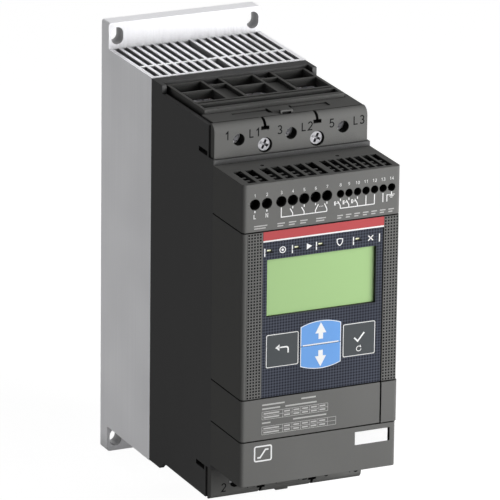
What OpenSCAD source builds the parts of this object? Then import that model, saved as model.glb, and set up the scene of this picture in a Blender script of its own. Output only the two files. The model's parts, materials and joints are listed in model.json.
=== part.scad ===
// Panel-mounted soft starter for three-phase motors.
// Origin at the centre of the rear mounting face; +Z up, front towards -Y, millimetres.

/* [Body] */
// Height of the heat sink without its ears
body_h = 216; // [205:1:260]
// Depth of the heat sink
sink_d = 67; // [62:1:90]
// Depth of the main housing in front of the heat sink
housing_d = 80; // [76:1:100]
// Depth of the front covers
front_d = 38; // [36:1:50]
// Wall of the main housing
wall_t = 2.5; // [2:0.1:3.5]
// Distance from the heat sink's end to the ridge of the housing
ridge_drop = 0.4; // [0:0.1:2]
// Depth of the ridge behind each terminal bay
ridge_d = 8; // [6:0.5:12]
// Distance from the ridge to the edge of the side wall
side_drop = 4.6; // [3.5:0.1:7]
// Length of the post at each end of the ridge
post_d = 6; // [3:0.5:12]
// Length of the slope under the lower posts
post_slope = 5.4; // [1:0.2:8]

/* [Heat sink] */
// Height of each mounting ear
ear_h = 14.5; // [13:0.5:22]
// Thickness of the rear plate and its ears
ear_t = 9.5; // [5:0.5:12]
// Radius of the ear corners
ear_r = 1.5; // [0.5:0.1:2.4]
// Width between the mounting slots
mount_w = 80; // [70:1:80]
// Width of a mounting slot
slot_w = 7; // [5:0.5:7.4]
// Length of a mounting slot
slot_l = 9.5; // [8:0.5:11]
// Distance from the end of an ear to the middle of its slots
slot_edge = 7.5; // [6.5:0.1:8]
// Thickness of a fin
fin_t = 2; // [1.2:0.1:2.4]
// Distance between neighbouring fins
fin_pitch = 5; // [4.4:0.1:6]
// Width of the middle channel
middle_channel_w = 5; // [4:0.5:7]
// Least thickness of the side walls
sink_side_t = 2.5; // [1.5:0.1:4]
// Depth of the rear row of channels
rear_row_d = 35.5; // [30:0.5:40]
// Thickness of the web between the two rows
web_t = 2; // [1.5:0.1:4]
// Thickness of the front wall
sink_front_t = 2; // [1.5:0.1:4]
// Thickness of the base pad under the semiconductors
base_t = 6; // [5.5:0.5:8]

/* [Fan] */
// Side of the square fan
fan_size = 50; // [44:1:52]
// Thickness of the fan
fan_t = 15; // [12:0.5:20]
// Distance between the fan's screw holes
fan_hole_pitch = 40; // [35:0.5:41]
// Diameter of the fan screws
fan_screw_d = 3; // [2.4:0.1:3.5]
// Number of fan blades
blade_count = 7; // [5:1:9]
// Diameter of the rotor hub
hub_d = 22; // [16:1:26]

/* [Phases and terminals] */
// Distance between neighbouring phases
phase_pitch = 30; // [29:0.5:36]
// Inside width of one wire window
window_w = 17.6; // [15:0.2:18.6]
// Depth of the rear row of windows
rear_window_d = 14.6; // [13.8:0.2:18]
// Depth of the front row of windows
front_window_d = 16.9; // [15.7:0.1:20]
// Thickness of the ribs between the windows
rib_t = 1.6; // [1.2:0.1:2.4]
// Groove between the window frame and the side wall
side_groove = 2.1; // [1.5:0.1:4]
// Height of the terminal bay from its floor to the ridge
terminal_h = 22.1; // [20.6:0.1:28]
// Thickness of the bay floor, which shows as a lip in front
lip_t = 2.6; // [2:0.1:4]
// Height of the window frame
frame_t = 4.6; // [3.6:0.1:5.4]
// Rise of the window frame over the shroud
frame_rise = 2.2; // [1:0.1:3]
// Radius of the shroud's front top edge
edge_r = 4.5; // [2:0.1:4.6]
// Thickness of the shroud's front wall
shroud_front_t = 6; // [5:0.1:8]
// Width of a busbar
busbar_w = 14; // [10:0.5:15]
// Thickness of a busbar
busbar_t = 3; // [2:0.1:4]
// Travel of a cage clamp
clamp_travel = 8.5; // [6:0.5:9.5]
// Wall of a cage clamp
cage_t = 1.4; // [1:0.1:1.8]
// Thickness of the threaded front of a cage clamp
cage_front_t = 4; // [3:0.5:5]
// Diameter of a clamp screw
clamp_screw_d = 8; // [6:0.1:8.6]
// Diameter of a driver hole in the shroud
driver_hole_d = 6.5; // [5.7:0.1:8]
// Diameter of the shroud screws
shroud_screw_d = 4; // [3:0.5:4]
// Diameter of the shroud screw heads
shroud_head_d = 7; // [6:0.1:7.6]

/* [Power electronics] */
// Width of a semiconductor module
module_w = 20; // [16:1:22]
// Height of a semiconductor module
module_h = 92; // [80:1:100]
// Depth of a semiconductor module with its terminal posts
module_d = 29; // [26:0.5:34]
// Thickness of the printed boards
board_t = 1.6; // [1:0.1:2.4]
// Depth of a bypass relay
relay_d = 16; // [12:0.5:20]

/* [Front covers] */
// Height of the control cover
control_h = 25.9; // [24:0.1:30]
// Height of the display housing
display_h = 91.9; // [88:0.1:100]
// Height of the rating cover
rating_h = 23.3; // [18:0.1:26]
// Height of the bottom cover; the four heights share out the front
bottom_h = 24.7; // [20:0.1:32]
// Side wall of the front covers
cover_t = 2; // [1.6:0.1:3]
// Front wall of the front covers
front_t = 2.5; // [2:0.1:3.5]
// Radius of the vertical front edges
corner_r = 2.2; // [1:0.1:4]
// Seam between neighbouring covers
seam = 0.7; // [0.2:0.1:0.8]
// Width of the port cover
port_w = 9.1; // [8:0.1:12]
// How far the port cover stands proud
port_proud = 0.4; // [0.1:0.1:0.8]
// Width of the marker label
marker_w = 19; // [14:0.5:24]
// Height of the marker label
marker_h = 7.2; // [5:0.1:8]

/* [Control terminals] */
// Distance between the supply terminals
supply_pitch = 6.8; // [6:0.1:8]
// Distance between the relay terminals
relay_pitch = 6.5; // [6:0.05:7]
// Distance between the signal terminals
signal_pitch = 4.9; // [4.6:0.05:5.2]
// Width of a large wire slot
large_slot_w = 4.6; // [4.2:0.1:5]
// Width of a small wire slot
small_slot_w = 3.6; // [2.6:0.1:3.8]
// Depth of the open part of a wire slot
wire_slot_d = 10; // [8:0.5:11]
// Diameter of a large driver hole
large_hole_d = 5.9; // [5:0.05:5.9]
// Diameter of a small driver hole
small_hole_d = 4.3; // [3:0.1:4.4]

/* [Display and keys] */
// Rim of the display overlay beside the glass
overlay_rim = 3.5; // [2.8:0.1:4]
// Thickness of the display overlay
overlay_t = 0.5; // [0.3:0.1:0.9]
// Width of the display glass
glass_w = 62.2; // [50:0.2:64]
// Height of the display glass
glass_h = 31; // [24:0.5:34]
// Distance from the lights to the glass
glass_drop = 5.1; // [4:0.1:7]
// Distance from the glass to the middle of the keys
key_drop = 19.1; // [17:0.1:22]
// Distance from the top of the display housing to the lights
light_drop = 11.2; // [10:0.1:14]
// Distance from the middle of the keys to the foot of the display housing
key_foot = 25.5; // [20:0.1:30]
// Set-back of the display glass
glass_set = 2; // [0.6:0.1:2.2]
// Width of the side keys
key_w = 18.8; // [14:0.2:19.6]
// Height of the side keys
key_h = 18.4; // [14:0.1:22]
// Width of the arrow keys
arrow_w = 23.4; // [18:0.2:24.6]
// Height of the two arrow keys at their sides
arrow_h = 22; // [18:0.5:24]
// Bulge of the arrow keys
arrow_bulge = 2.3; // [1:0.1:3]
// Travel of a key
key_travel = 0.6; // [0.3:0.1:0.8]

/* [Clearances] */
// Clearance between neighbouring parts
gap = 0.3; // [0.2:0.05:0.4]
// Radial clearance of screws and shafts
fit = 0.05; // [0.02:0.01:0.08]
// Clearance around the keys and the glass
key_gap = 0.2; // [0.15:0.05:0.3]

/* [Hidden] */
$fn = 48;

// How far a cut runs past the faces it opens, and a screw into what holds it
past = 1;
screw_bite = 4;

// Widths: the three phases set the width of the whole unit
frame_hw = phase_pitch + window_w / 2 + rib_t;
bay_hw = frame_hw + side_groove;
hw = bay_hw + wall_t;
line = 1;
load = -1;

// Levels along the height, counted from the middle
strip_rise = 0.9;
clamp_drop = 6.8;
screw_rise = 4.6;
sink_z = body_h / 2;
ear_z = sink_z + ear_h;
mount_z = ear_z - slot_edge;
ridge_z = sink_z - ridge_drop;
side_z = ridge_z - side_drop;
bay_z = ridge_z - terminal_h;
front_z = bay_z - lip_t;
strip_z = side_z + strip_rise;
frame_z1 = strip_z + frame_rise;
frame_z0 = frame_z1 - frame_t;
clamp_z = frame_z0 - clamp_drop;
shroud_screw_z = bay_z + screw_rise;

// Levels along the depth, counted from the mounting face
side_set = 6;
shroud_set = 1;
sink_y = -sink_d;
ridge_y = sink_y - ridge_d;
post_y = ridge_y - post_d;
shelf_y = sink_y - housing_d;
front_y = shelf_y - front_d;
side_y = shelf_y + side_set;
shroud_y = shelf_y + shroud_set;
chamber_y = shroud_y + shroud_front_t;
lip_proud = 0.5;

// Window frame, from the rear to the front
frame_y0 = ridge_y - gap;
rear_window_y = frame_y0 - rib_t;
front_window_y = rear_window_y - rear_window_d - rib_t;
window_end_y = front_window_y - front_window_d;
groove_y = window_end_y - rib_t;
groove_d = 1.8;
rail_d = 2.4;
trough_y = groove_y - groove_d - rail_d;
trough_d = 6;
notch_d = 7.5;
notch_h = 8;
notch_hw = phase_pitch / 2 - window_w / 2 - rib_t;
front_rail_d = 3.6;
frame_y1 = trough_y - trough_d - front_rail_d;

// Cage clamp: closed at rest, it opens towards the rear
cage_in = busbar_w / 2 + gap;
cage_hw = cage_in + cage_t;
cage_room = 0.8;
chamber_hw = cage_hw + cage_room;
cage_set = 0.5;
cage_y0 = window_end_y + cage_set;
cage_rear_t = 3.5;
busbar_y = cage_y0 + cage_front_t + clamp_travel + 1;
busbar_y1 = busbar_y + busbar_t;
cage_y1 = busbar_y1 + gap + cage_rear_t;
cage_z0 = bay_z + past;
cage_z1 = frame_z0 - gap;
busbar_z = frame_z0 - 5;
tongue_hw = min(cage_in, window_w / 2 - gap) - cage_room;
clamp_screw_r = clamp_screw_d / 2;
clamp_head_r = clamp_screw_r + 2;
clamp_head_h = 5;
head_room_z = clamp_z + clamp_head_r + gap;

// Shroud screws run along the barriers into bosses on the bay floor
barrier_x = phase_pitch / 2;
pocket_hw = barrier_x - chamber_hw - 1;
shroud_head_h = 2.6;
shroud_seat_y = shroud_y + 4;
boss_hw = shroud_screw_d / 2 + 1.8;
crease_w = 0.8;
tab_hw = 2.6;
tab_y = side_y + crease_w;
loop_h = 1.9;
loop_d = 2.4;
loop_t = 0.9;
latch_hw = 6.7;
boss_y0 = shroud_seat_y + 8;
boss_d = 10;
boss_h = screw_rise + shroud_screw_d / 2 + 2;

// Heat sink
channel_w = fin_pitch - fin_t;
channel_count = floor((hw - sink_side_t - middle_channel_w / 2) / fin_pitch);
front_row_y = -ear_t - rear_row_d - web_t;
base_hw = phase_pitch + module_w / 2 + 0.5;
base_hh = module_h / 2 + 6;
fan_y = -(ear_t + sink_d - sink_front_t) / 2;
fan_z1 = -sink_z + fan_t;
fan_bore_r = fan_size / 2 - 1.5;
fan_screw_r = fan_screw_d / 2;
fan_screw_l = fan_t + 6;
spindle_r = 2;
hub_plate_t = 2.5;
housing_screw_x = middle_channel_w / 2 + (channel_count - 2) * fin_pitch + fin_t + channel_w / 2;
housing_screw_z = (base_hh + front_z) / 2;
housing_screw_r = channel_w / 2 - 0.1;

// Semiconductors, busbars and power board
module_y = sink_y - base_t;
module_y1 = module_y - module_d;
module_base_t = 4;
module_flange = 12;
post_h = 3;
post_z = module_h / 2 - 20;
jog_z = module_h / 2 + 6;
foot_z = post_z - 7;
module_screw_r = 2.45;
module_screw_z = module_h / 2 - module_flange / 2;
busbar_screw_r = 2;
board_y = module_y1 - busbar_t - 9;
standoff_r = 3.2;
standoff_z = front_z - 7.4;
board_screw_r = 1.45;
board_screw_l = 8;
transformer_h = 12;
transformer_reach = 8;
transformer_hw = busbar_w / 2 + 4.5;

// Front covers, from the top to the bottom
cover_fit = 2 * front_z / (control_h + display_h + rating_h + bottom_h);
display_z1 = front_z - control_h * cover_fit;
display_z0 = display_z1 - display_h * cover_fit;
rating_z0 = display_z0 - rating_h * cover_fit;
cover_hw = hw - cover_t;
wall_y = front_y + front_t;
port_x = hw - port_w;

// Control terminals
terminal_drop = 11.1;
terminal_z = front_z - terminal_drop * cover_fit;
control_board_y = shelf_y - 6;
block_y0 = control_board_y - board_t;
block_y1 = wall_y + gap;
block_z0 = display_z1 + seam + 0.6;
block_z1 = front_z - cover_t - gap;
wire_y0 = front_y + 23.6;
slot_y1 = wall_y + 0.5;
slot_wall_t = 0.8;
rung_d = 1.4;
rung_pitch = 4.9;
rung_set = 0.3;
rung_reach = 0.6;
block_margin = 1;
large_hw = large_slot_w / 2 + block_margin;
small_hw = small_slot_w / 2 + block_margin;
supply_x0 = -cover_hw + gap + large_hw + 1;
signal_x0 = cover_hw - gap - small_hw - 0.2 - 6 * signal_pitch;
relay_x0 = (supply_x0 + supply_pitch + large_hw + signal_x0 - small_hw) / 2 - 2 * relay_pitch;
supply_xs = [for (i = [0:1]) supply_x0 + i * supply_pitch];
relay_xs = [for (i = [0:4]) relay_x0 + i * relay_pitch];
signal_xs = [for (i = [0:6]) signal_x0 + i * signal_pitch];
large_xs = concat(supply_xs, relay_xs);

// Display and keys, from the top to the bottom
panel_fit = (display_z1 - display_z0) / (light_drop + glass_drop + glass_h + key_drop + key_foot);
overlay_hw = glass_w / 2 + overlay_rim;
overlay_z1 = display_z1 - seam;
panel_x = 0.3;
overlay_x = panel_x + 0.9;
light_z = display_z1 - light_drop * panel_fit;
light_xs = [for (share = [-0.966, -0.463, -0.023, 0.662]) panel_x + share * glass_w / 2];
light_size = [2.7, 1.2];
light_set = 1.4;
glass_z1 = light_z - glass_drop * panel_fit;
glass_z0 = glass_z1 - glass_h * panel_fit;
glass_rim = 2;
key_z = glass_z0 - key_drop * panel_fit;
key_hh = key_h / 2 * panel_fit;
arrow_hh = arrow_h / 2 * panel_fit;
key_bridge = 0.6;
key_x = arrow_w / 2 + key_bridge + 2 * key_gap + key_w / 2;
key_split = 0.3;
key_flange = 1.2;
display_board_y = wall_y + 8;
display_board_hw = glass_w / 2 + glass_rim + gap;
display_post_x = overlay_hw - 8.6;
display_post_z0 = display_z0 + 6.5;
display_post_z1 = display_z1 - 6.5;
post_r = 2.2;
switch_d = 3.5;
plunger_d = 0.7;
control_post_x = cover_hw - 3;
control_post_z0 = display_z0 + 8;
control_post_z1 = display_z1 - 8;
marker_x = hw - 4.9 - marker_w;
marker_drop = 3.1;
marker_z1 = rating_z0 - marker_drop * cover_fit;
marker_z0 = marker_z1 - marker_h * cover_fit;
marker_t = 0.5;
pick_w = 1.2;
pick_t = 1.6;

// Colours of the pieces
dark_grey = [0.22, 0.22, 0.22];
mid_grey = [0.42, 0.42, 0.41];
light_grey = [0.86, 0.87, 0.89];
zinc = [0.78, 0.78, 0.80];
copper = [0.78, 0.50, 0.32];
board_green = [0.10, 0.35, 0.20];

// Block between two opposite corners
module span(lo, hi) {
    translate(lo) cube(hi - lo);
}

// Plate cut from an outline in X and Z, reaching forward from y
module facing(y, t) {
    translate([0, y, 0]) rotate([90, 0, 0]) linear_extrude(t) children();
}

// Plate cut from an outline in Y and Z, reaching right from x
module sideways(x, t) {
    translate([x, 0, 0]) rotate([90, 0, 90]) linear_extrude(t) children();
}

// Round bar along Y from a rear end to a front end
module bar_y(r, rear, front, x, z) {
    translate([x, rear, z]) rotate([90, 0, 0]) cylinder(r = r, h = rear - front);
}

// Outline with round corners, centred
module round_rect(w, h, r) {
    square([w - 2 * r, h], center = true);
    square([w, h - 2 * r], center = true);
    for (x = [-1, 1], y = [-1, 1])
        translate([x * (w / 2 - r), y * (h / 2 - r)]) circle(r);
}

// Upright slot with round ends
module oblong(w, l) {
    square([w, l - w], center = true);
    for (s = [-1, 1]) translate([0, s * (l - w) / 2]) circle(w / 2);
}

// Upper end as drawn, lower end as its mirror image
module at_end(end) {
    mirror([0, 0, end == load ? 1 : 0]) children();
}

// Heat sink
module channel_row(y0, y1) {
    translate([-middle_channel_w / 2, y0]) square([middle_channel_w, y1 - y0]);
    for (s = [0, 1], i = [0:channel_count - 1])
        mirror([s, 0])
            translate([middle_channel_w / 2 + i * fin_pitch + fin_t, y0]) square([channel_w, y1 - y0]);
}

module sink_profile() {
    difference() {
        translate([-hw, sink_y]) square([2 * hw, sink_d]);
        channel_row(-ear_t - rear_row_d, -ear_t);
        channel_row(sink_y + sink_front_t, front_row_y);
    }
}

module fan_screw_places() {
    for (x = [-1, 1], y = [-1, 1])
        translate([x * fan_hole_pitch / 2, fan_y + y * fan_hole_pitch / 2, -sink_z]) children();
}

module heat_sink() {
    color(light_grey) difference() {
        union() {
            translate([0, 0, -sink_z]) linear_extrude(body_h) sink_profile();
            facing(0, ear_t) round_rect(2 * hw, 2 * ear_z, ear_r);
            span([-base_hw, module_y, -base_hh], [base_hw, sink_y, base_hh]);
        }
        for (x = [-1, 1], z = [-1, 1])
            facing(past, ear_t + 2 * past)
                translate([x * mount_w / 2, z * mount_z]) oblong(slot_w, slot_l);
        span([-fan_size / 2 - gap, fan_y - fan_size / 2 - gap, -sink_z - past],
             [fan_size / 2 + gap, fan_y + fan_size / 2 + gap, fan_z1]);
        fan_screw_places() cylinder(r = fan_screw_r + fit, h = fan_screw_l + past);
        for (x = [-1, 1], z = [-1, 1])
            bar_y(housing_screw_r + fit, sink_y + sink_front_t + past, sink_y - past,
                  x * housing_screw_x, z * housing_screw_z);
        for (x = [-1, 1], z = [-1, 1])
            bar_y(module_screw_r + fit, module_y + base_t - 0.8, module_y - past,
                  x * phase_pitch, z * module_screw_z);
    }
}

// Fan
module fan_outline() {
    difference() {
        round_rect(fan_size, fan_size, 3);
        difference() {
            circle(fan_bore_r);
            children();
        }
        for (x = [-1, 1], y = [-1, 1])
            translate([x * fan_hole_pitch / 2, y * fan_hole_pitch / 2]) circle(fan_screw_r + 0.5);
    }
}

module fan_hub() {
    strut_w = 2.5;
    circle(d = hub_d);
    for (a = [30, 150, 270])
        rotate(a) translate([0, -strut_w / 2]) square([fan_size, strut_w]);
}

module fan_frame() {
    color(dark_grey) translate([0, fan_y, -sink_z]) {
        linear_extrude(fan_t) fan_outline();
        translate([0, 0, fan_t - hub_plate_t]) linear_extrude(hub_plate_t) fan_outline() fan_hub();
        translate([0, 0, past]) cylinder(r = spindle_r, h = fan_t - past);
    }
}

module fan_rotor() {
    blade_z = 0.6;
    rotor_h = fan_t - hub_plate_t - blade_z - gap;
    color([0.13, 0.13, 0.14]) translate([0, fan_y, blade_z - sink_z]) difference() {
        union() {
            cylinder(d = hub_d, h = rotor_h);
            intersection() {
                difference() {
                    cylinder(r = fan_bore_r - 0.7, h = rotor_h);
                    translate([0, 0, -past]) cylinder(d = hub_d - 1, h = rotor_h + 2 * past);
                }
                for (i = [0:blade_count - 1])
                    rotate([0, 0, i * 360 / blade_count])
                        translate([0, 0, rotor_h / 2]) rotate([42, 0, 0])
                            translate([0, -0.6, -rotor_h]) cube([fan_size, 1.2, 2 * rotor_h]);
            }
        }
        translate([0, 0, -past]) cylinder(r = spindle_r + fit, h = rotor_h + 2 * past);
    }
}

module fan_screws() {
    color(zinc) fan_screw_places() {
        cylinder(r = fan_screw_r, h = fan_screw_l);
        translate([0, 0, -1.5]) difference() {
            cylinder(r = fan_screw_r + 1.2, h = 1.5);
            translate([-0.4, -fan_screw_d, -past]) cube([0.8, 2 * fan_screw_d, past + 0.8]);
        }
    }
}

// Main housing
module side_wall_profile() {
    polygon([
        [sink_y, -ridge_z], [sink_y, ridge_z], [post_y, ridge_z], [post_y, side_z], [side_y, side_z],
        [side_y, bay_z], [shelf_y, bay_z], [shelf_y, -bay_z], [side_y, -bay_z], [side_y, -side_z],
        [post_y - post_slope, -side_z], [post_y, -ridge_z]
    ]);
}

module busbar_places() {
    for (i = [-1:1]) translate([i * phase_pitch, 0, 0]) children();
}

module shroud_boss() {
    for (x = [-1, 1])
        span([x * barrier_x - boss_hw, boss_y0, bay_z - past],
             [x * barrier_x + boss_hw, boss_y0 + boss_d, bay_z + boss_h]);
}

// Tongues on the ridge that hold the rear of the shroud down
module latch_tongues() {
    tongue_w = 2.8;
    tongue_d = 3;
    tongue_t = 1.6;
    for (x = [-1, 1])
        span([x * barrier_x - tongue_w / 2, ridge_y - tongue_d, frame_z1 - frame_rise - tongue_t],
             [x * barrier_x + tongue_w / 2, ridge_y + past, frame_z1 - frame_rise]);
}

module standoffs() {
    for (x = [-1, 1], z = [-1, 1])
        bar_y(standoff_r, sink_y, board_y, x * barrier_x, z * standoff_z);
}

module bay_end() {
    span([-hw, shelf_y, front_z], [hw, sink_y, bay_z]);
    span([-hw, shelf_y - lip_proud, front_z], [hw, shelf_y, bay_z]);
    span([-hw, ridge_y, front_z], [hw, sink_y, ridge_z]);
    shroud_boss();
    latch_tongues();
}

module main_housing() {
    latch_d = 10.8;
    latch_h = 2.7;
    latch_y = side_y + 1.5;
    latch_z = bay_z + 0.2;
    color(dark_grey) difference() {
        union() {
            for (x = [-hw, bay_hw]) sideways(x, wall_t) side_wall_profile();
            span([-hw, sink_y - wall_t, -front_z], [hw, sink_y, front_z]);
            for (end = [line, load]) at_end(end) bay_end();
            standoffs();
        }
        span([-base_hw - gap, sink_y - wall_t - past, -base_hh - gap],
             [base_hw + gap, sink_y + past, base_hh + gap]);
        for (end = [line, load]) at_end(end) {
            busbar_places()
                span([-busbar_w / 2 - gap, busbar_y - gap, front_z - past],
                     [busbar_w / 2 + gap, busbar_y1 + gap, bay_z + past]);
            span([-hw - past, latch_y, latch_z], [hw + past, latch_y + latch_d, latch_z + latch_h]);
            for (x = [-1, 1])
                bar_y(shroud_screw_d / 2 + fit, boss_y0 + boss_d - 1.5, boss_y0 - past,
                      x * barrier_x, shroud_screw_z);
        }
        for (x = [-1, 1], z = [-1, 1]) {
            bar_y(board_screw_r + fit, board_y + board_screw_l + screw_bite, board_y - past,
                  x * barrier_x, z * standoff_z);
            bar_y(housing_screw_r + fit, sink_y + past, sink_y - wall_t - past,
                  x * housing_screw_x, z * housing_screw_z);
        }
    }
}

// Screw along Y with a cross-recess head that sits in front of its seat
module cross_screw(r, head_r, head_h, rear, seat, x, z) {
    difference() {
        union() {
            bar_y(r, rear, seat, x, z);
            bar_y(head_r, seat, seat - head_h, x, z);
        }
        for (a = [25, 115])
            translate([x, seat - head_h, z]) rotate([0, a, 0])
                cube([head_r * 1.5, head_h * 1.5, head_r * 0.4], center = true);
    }
}

module housing_screws() {
    color(zinc)
        for (x = [-1, 1], z = [-1, 1])
            cross_screw(housing_screw_r, housing_screw_r + 1.3, 1.8, sink_y + sink_front_t + screw_bite,
                        sink_y - wall_t, x * housing_screw_x, z * housing_screw_z);
}

// Terminal shrouds
module shroud_front_profile() {
    y0 = shroud_y;
    y1 = side_y - gap;
    polygon([[y0, bay_z], [y1, bay_z], [y1, strip_z], [y0 + edge_r, strip_z],
             [y0 + edge_r, strip_z - edge_r], [y0, strip_z - edge_r]]);
    intersection() {
        translate([y0 + edge_r, strip_z - edge_r]) circle(edge_r);
        translate([y0, bay_z]) square([edge_r, strip_z - bay_z]);
    }
}

module edge_slit(x) {
    slit_w = 1.5;
    slit_t = 4.5;
    foot_w = 4.6;
    foot_h = 2;
    slit_h = 5.5;
    slit_d = 5.7;
    slit_z = strip_z - slit_h;
    span([x - foot_w / 2, shroud_y - past, slit_z], [x + foot_w / 2, shroud_y + slit_t, slit_z + foot_h]);
    span([x - slit_w / 2, shroud_y - past, slit_z], [x + slit_w / 2, shroud_y + slit_t, strip_z + past]);
    span([x - slit_w / 2, shroud_y - past, strip_z - slit_t],
         [x + slit_w / 2, shroud_y + slit_d, strip_z + past]);
}

module shroud_latch() {
    slit_w = 1.2;
    slit_d = 8;
    slit_t = 3.5;
    for (s = [-1, 1])
        span([s * latch_hw - slit_w / 2, shroud_y + 10, strip_z - slit_t],
             [s * latch_hw + slit_w / 2, shroud_y + 10 + slit_d, strip_z + past]);
    span([-tab_hw, side_y, strip_z - slit_t], [tab_hw, tab_y + loop_d - loop_t, strip_z + loop_h - loop_t]);
}

// Raised loop over the latch slot
module shroud_tab() {
    span([-tab_hw - loop_t, tab_y, strip_z - past], [tab_hw + loop_t, tab_y + loop_d, strip_z + loop_h]);
}

module shroud() {
    crease_t = 0.8;
    recess_t = 0.7;
    recess_x = [latch_hw, phase_pitch - 2.5];
    difference() {
        union() {
            span([gap - bay_hw, side_y - gap, bay_z], [bay_hw - gap, frame_y0, strip_z]);
            sideways(1 - hw, 2 * hw - 2) shroud_front_profile();
            shroud_tab();
        }
        span([-hw, side_y - gap, strip_z - crease_t], [hw, side_y + crease_w - gap, strip_z + past]);
        span([-hw, frame_y1 - gap, frame_z0], [hw, ridge_y + past, strip_z + past]);
        busbar_places() {
            span([-chamber_hw, frame_y1 + past, bay_z - past],
                 [chamber_hw, rear_window_y, strip_z + past]);
            span([-chamber_hw, chamber_y, bay_z - past],
                 [chamber_hw, frame_y1 + 2 * past, head_room_z]);
            bar_y(driver_hole_d / 2, chamber_y + past, shroud_y - past, 0, clamp_z);
        }
        for (x = [-1, 1]) {
            edge_slit(x * barrier_x);
            bar_y(shroud_head_d / 2 + 2 * gap, shroud_seat_y, shroud_y - past,
                  x * barrier_x, shroud_screw_z);
            bar_y(shroud_screw_d / 2 + gap, boss_y0 + past, shroud_y - past,
                  x * barrier_x, shroud_screw_z);
            span([x * barrier_x - boss_hw - gap, boss_y0 - gap, bay_z - past],
                 [x * barrier_x + boss_hw + gap, boss_y0 + boss_d + gap, bay_z + boss_h + gap]);
            span([x * barrier_x - pocket_hw, rear_window_y - notch_d, frame_z0 - notch_h],
                 [x * barrier_x + pocket_hw, rear_window_y, frame_z0 + past]);
            mirror([x < 0 ? 1 : 0, 0, 0])
                span([recess_x[0], shroud_y + 10.5, strip_z - recess_t],
                     [recess_x[1], shroud_y + 16.5, strip_z + past]);
        }
        shroud_latch();
    }
}

module line_shroud() { color(mid_grey) shroud(); }
module load_shroud() { color(mid_grey) at_end(load) shroud(); }

module window_frame() {
    channel_drop = 2.2;
    groove_drop = 1.6;
    floor_t = 0.8;
    difference() {
        span([-frame_hw, frame_y1, frame_z0], [frame_hw, frame_y0, frame_z1]);
        busbar_places() {
            span([-window_w / 2, window_end_y, frame_z0 - past],
                 [window_w / 2, front_window_y, frame_z1 + past]);
            span([-window_w / 2, rear_window_y - rear_window_d, frame_z0 - past],
                 [window_w / 2, rear_window_y, frame_z1 + past]);
        }
        for (x = [-barrier_x, barrier_x]) {
            span([x - notch_hw, window_end_y, frame_z1 - channel_drop],
                 [x + notch_hw, rear_window_y - notch_d - rib_t, frame_z1 + past]);
            span([x - notch_hw, rear_window_y - notch_d, frame_z0 - past],
                 [x + notch_hw, frame_y0 + past, frame_z1 + past]);
        }
        span([rib_t - frame_hw, groove_y - groove_d, frame_z1 - groove_drop],
             [frame_hw - rib_t, groove_y, frame_z1 + past]);
        span([rib_t - frame_hw, trough_y - trough_d, frame_z0 + floor_t],
             [frame_hw - rib_t, trough_y, frame_z1 + past]);
    }
}

module line_window_frame() { color(mid_grey) window_frame(); }
module load_window_frame() { color(mid_grey) at_end(load) window_frame(); }

module shroud_screw_pair() {
    for (x = [-1, 1])
        cross_screw(shroud_screw_d / 2, shroud_head_d / 2, shroud_head_h, boss_y0 + boss_d - 2,
                    shroud_seat_y, x * barrier_x, shroud_screw_z);
}

module line_shroud_screws() { color(zinc) shroud_screw_pair(); }
module load_shroud_screws() { color(zinc) at_end(load) shroud_screw_pair(); }

// Cage clamp and its screw, phases numbered -1, 0 and 1 from the left
module clamp(phase, end) {
    tongue_t = cage_front_t - 0.6;
    tongue_drop = 2.4;
    color(zinc) at_end(end) translate([phase * phase_pitch, 0, 0]) difference() {
        union() {
            span([-cage_hw, cage_y0, cage_z0], [cage_hw, cage_y1, cage_z1]);
            span([-tongue_hw, cage_y0, cage_z0], [tongue_hw, cage_y0 + tongue_t, frame_z1 - tongue_drop]);
        }
        span([-cage_in, cage_y0 + cage_front_t, cage_z0 - past],
             [cage_in, busbar_y1 + gap, cage_z1 + past]);
        bar_y(clamp_screw_r + fit, cage_y0 + cage_front_t + past, cage_y0 - past, 0, clamp_z);
    }
}

module clamp_screw(phase, end) {
    head_y = chamber_y + gap;
    socket_d = 5;
    color(zinc) at_end(end) translate([phase * phase_pitch, 0, 0]) difference() {
        union() {
            bar_y(clamp_screw_r, busbar_y - 0.1, head_y, 0, clamp_z);
            bar_y(clamp_head_r, head_y + clamp_head_h, head_y, 0, clamp_z);
        }
        translate([0, head_y + 3, clamp_z]) rotate([90, 0, 0])
            cylinder(d = socket_d / cos(30), h = 5, $fn = 6);
    }
}

// Busbars
module bent_busbar() {
    foot_y = module_y1 - busbar_t;
    difference() {
        sideways(-busbar_w / 2, busbar_w)
            polygon([[busbar_y1, busbar_z], [busbar_y1, jog_z], [module_y1, jog_z], [module_y1, foot_z],
                     [foot_y, foot_z], [foot_y, jog_z + busbar_t], [busbar_y, jog_z + busbar_t],
                     [busbar_y, busbar_z]]);
        bar_y(busbar_screw_r + gap, module_y1 + past, foot_y - past, 0, post_z);
    }
}

module outer_phases() {
    for (x = [-1, 1]) translate([x * phase_pitch, 0, 0]) children();
}

module line_busbars() { color(copper) outer_phases() bent_busbar(); }
module load_busbars() { color(copper) at_end(load) outer_phases() bent_busbar(); }

module middle_busbar() {
    color(copper) span([-busbar_w / 2, busbar_y, -busbar_z], [busbar_w / 2, busbar_y1, busbar_z]);
}

// Power semiconductors
module semiconductor(x) {
    body_hh = module_h / 2 - module_flange;
    translate([x * phase_pitch, 0, 0]) difference() {
        union() {
            span([-module_w / 2, module_y - module_base_t, -module_h / 2],
                 [module_w / 2, module_y, module_h / 2]);
            span([-module_w / 2, module_y1 + post_h, -body_hh], [module_w / 2, module_y, body_hh]);
            for (z = [-post_z, 0, post_z])
                span([-5.5, module_y1, z - 6], [5.5, module_y1 + post_h + past, z + 6]);
        }
        for (z = [-1, 1])
            bar_y(module_screw_r + gap, module_y + past, module_y - module_base_t - past,
                  0, z * module_screw_z);
        for (z = [-post_z, post_z])
            bar_y(busbar_screw_r + fit, module_y1 + 9, module_y1 - past, 0, z);
    }
}

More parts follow.
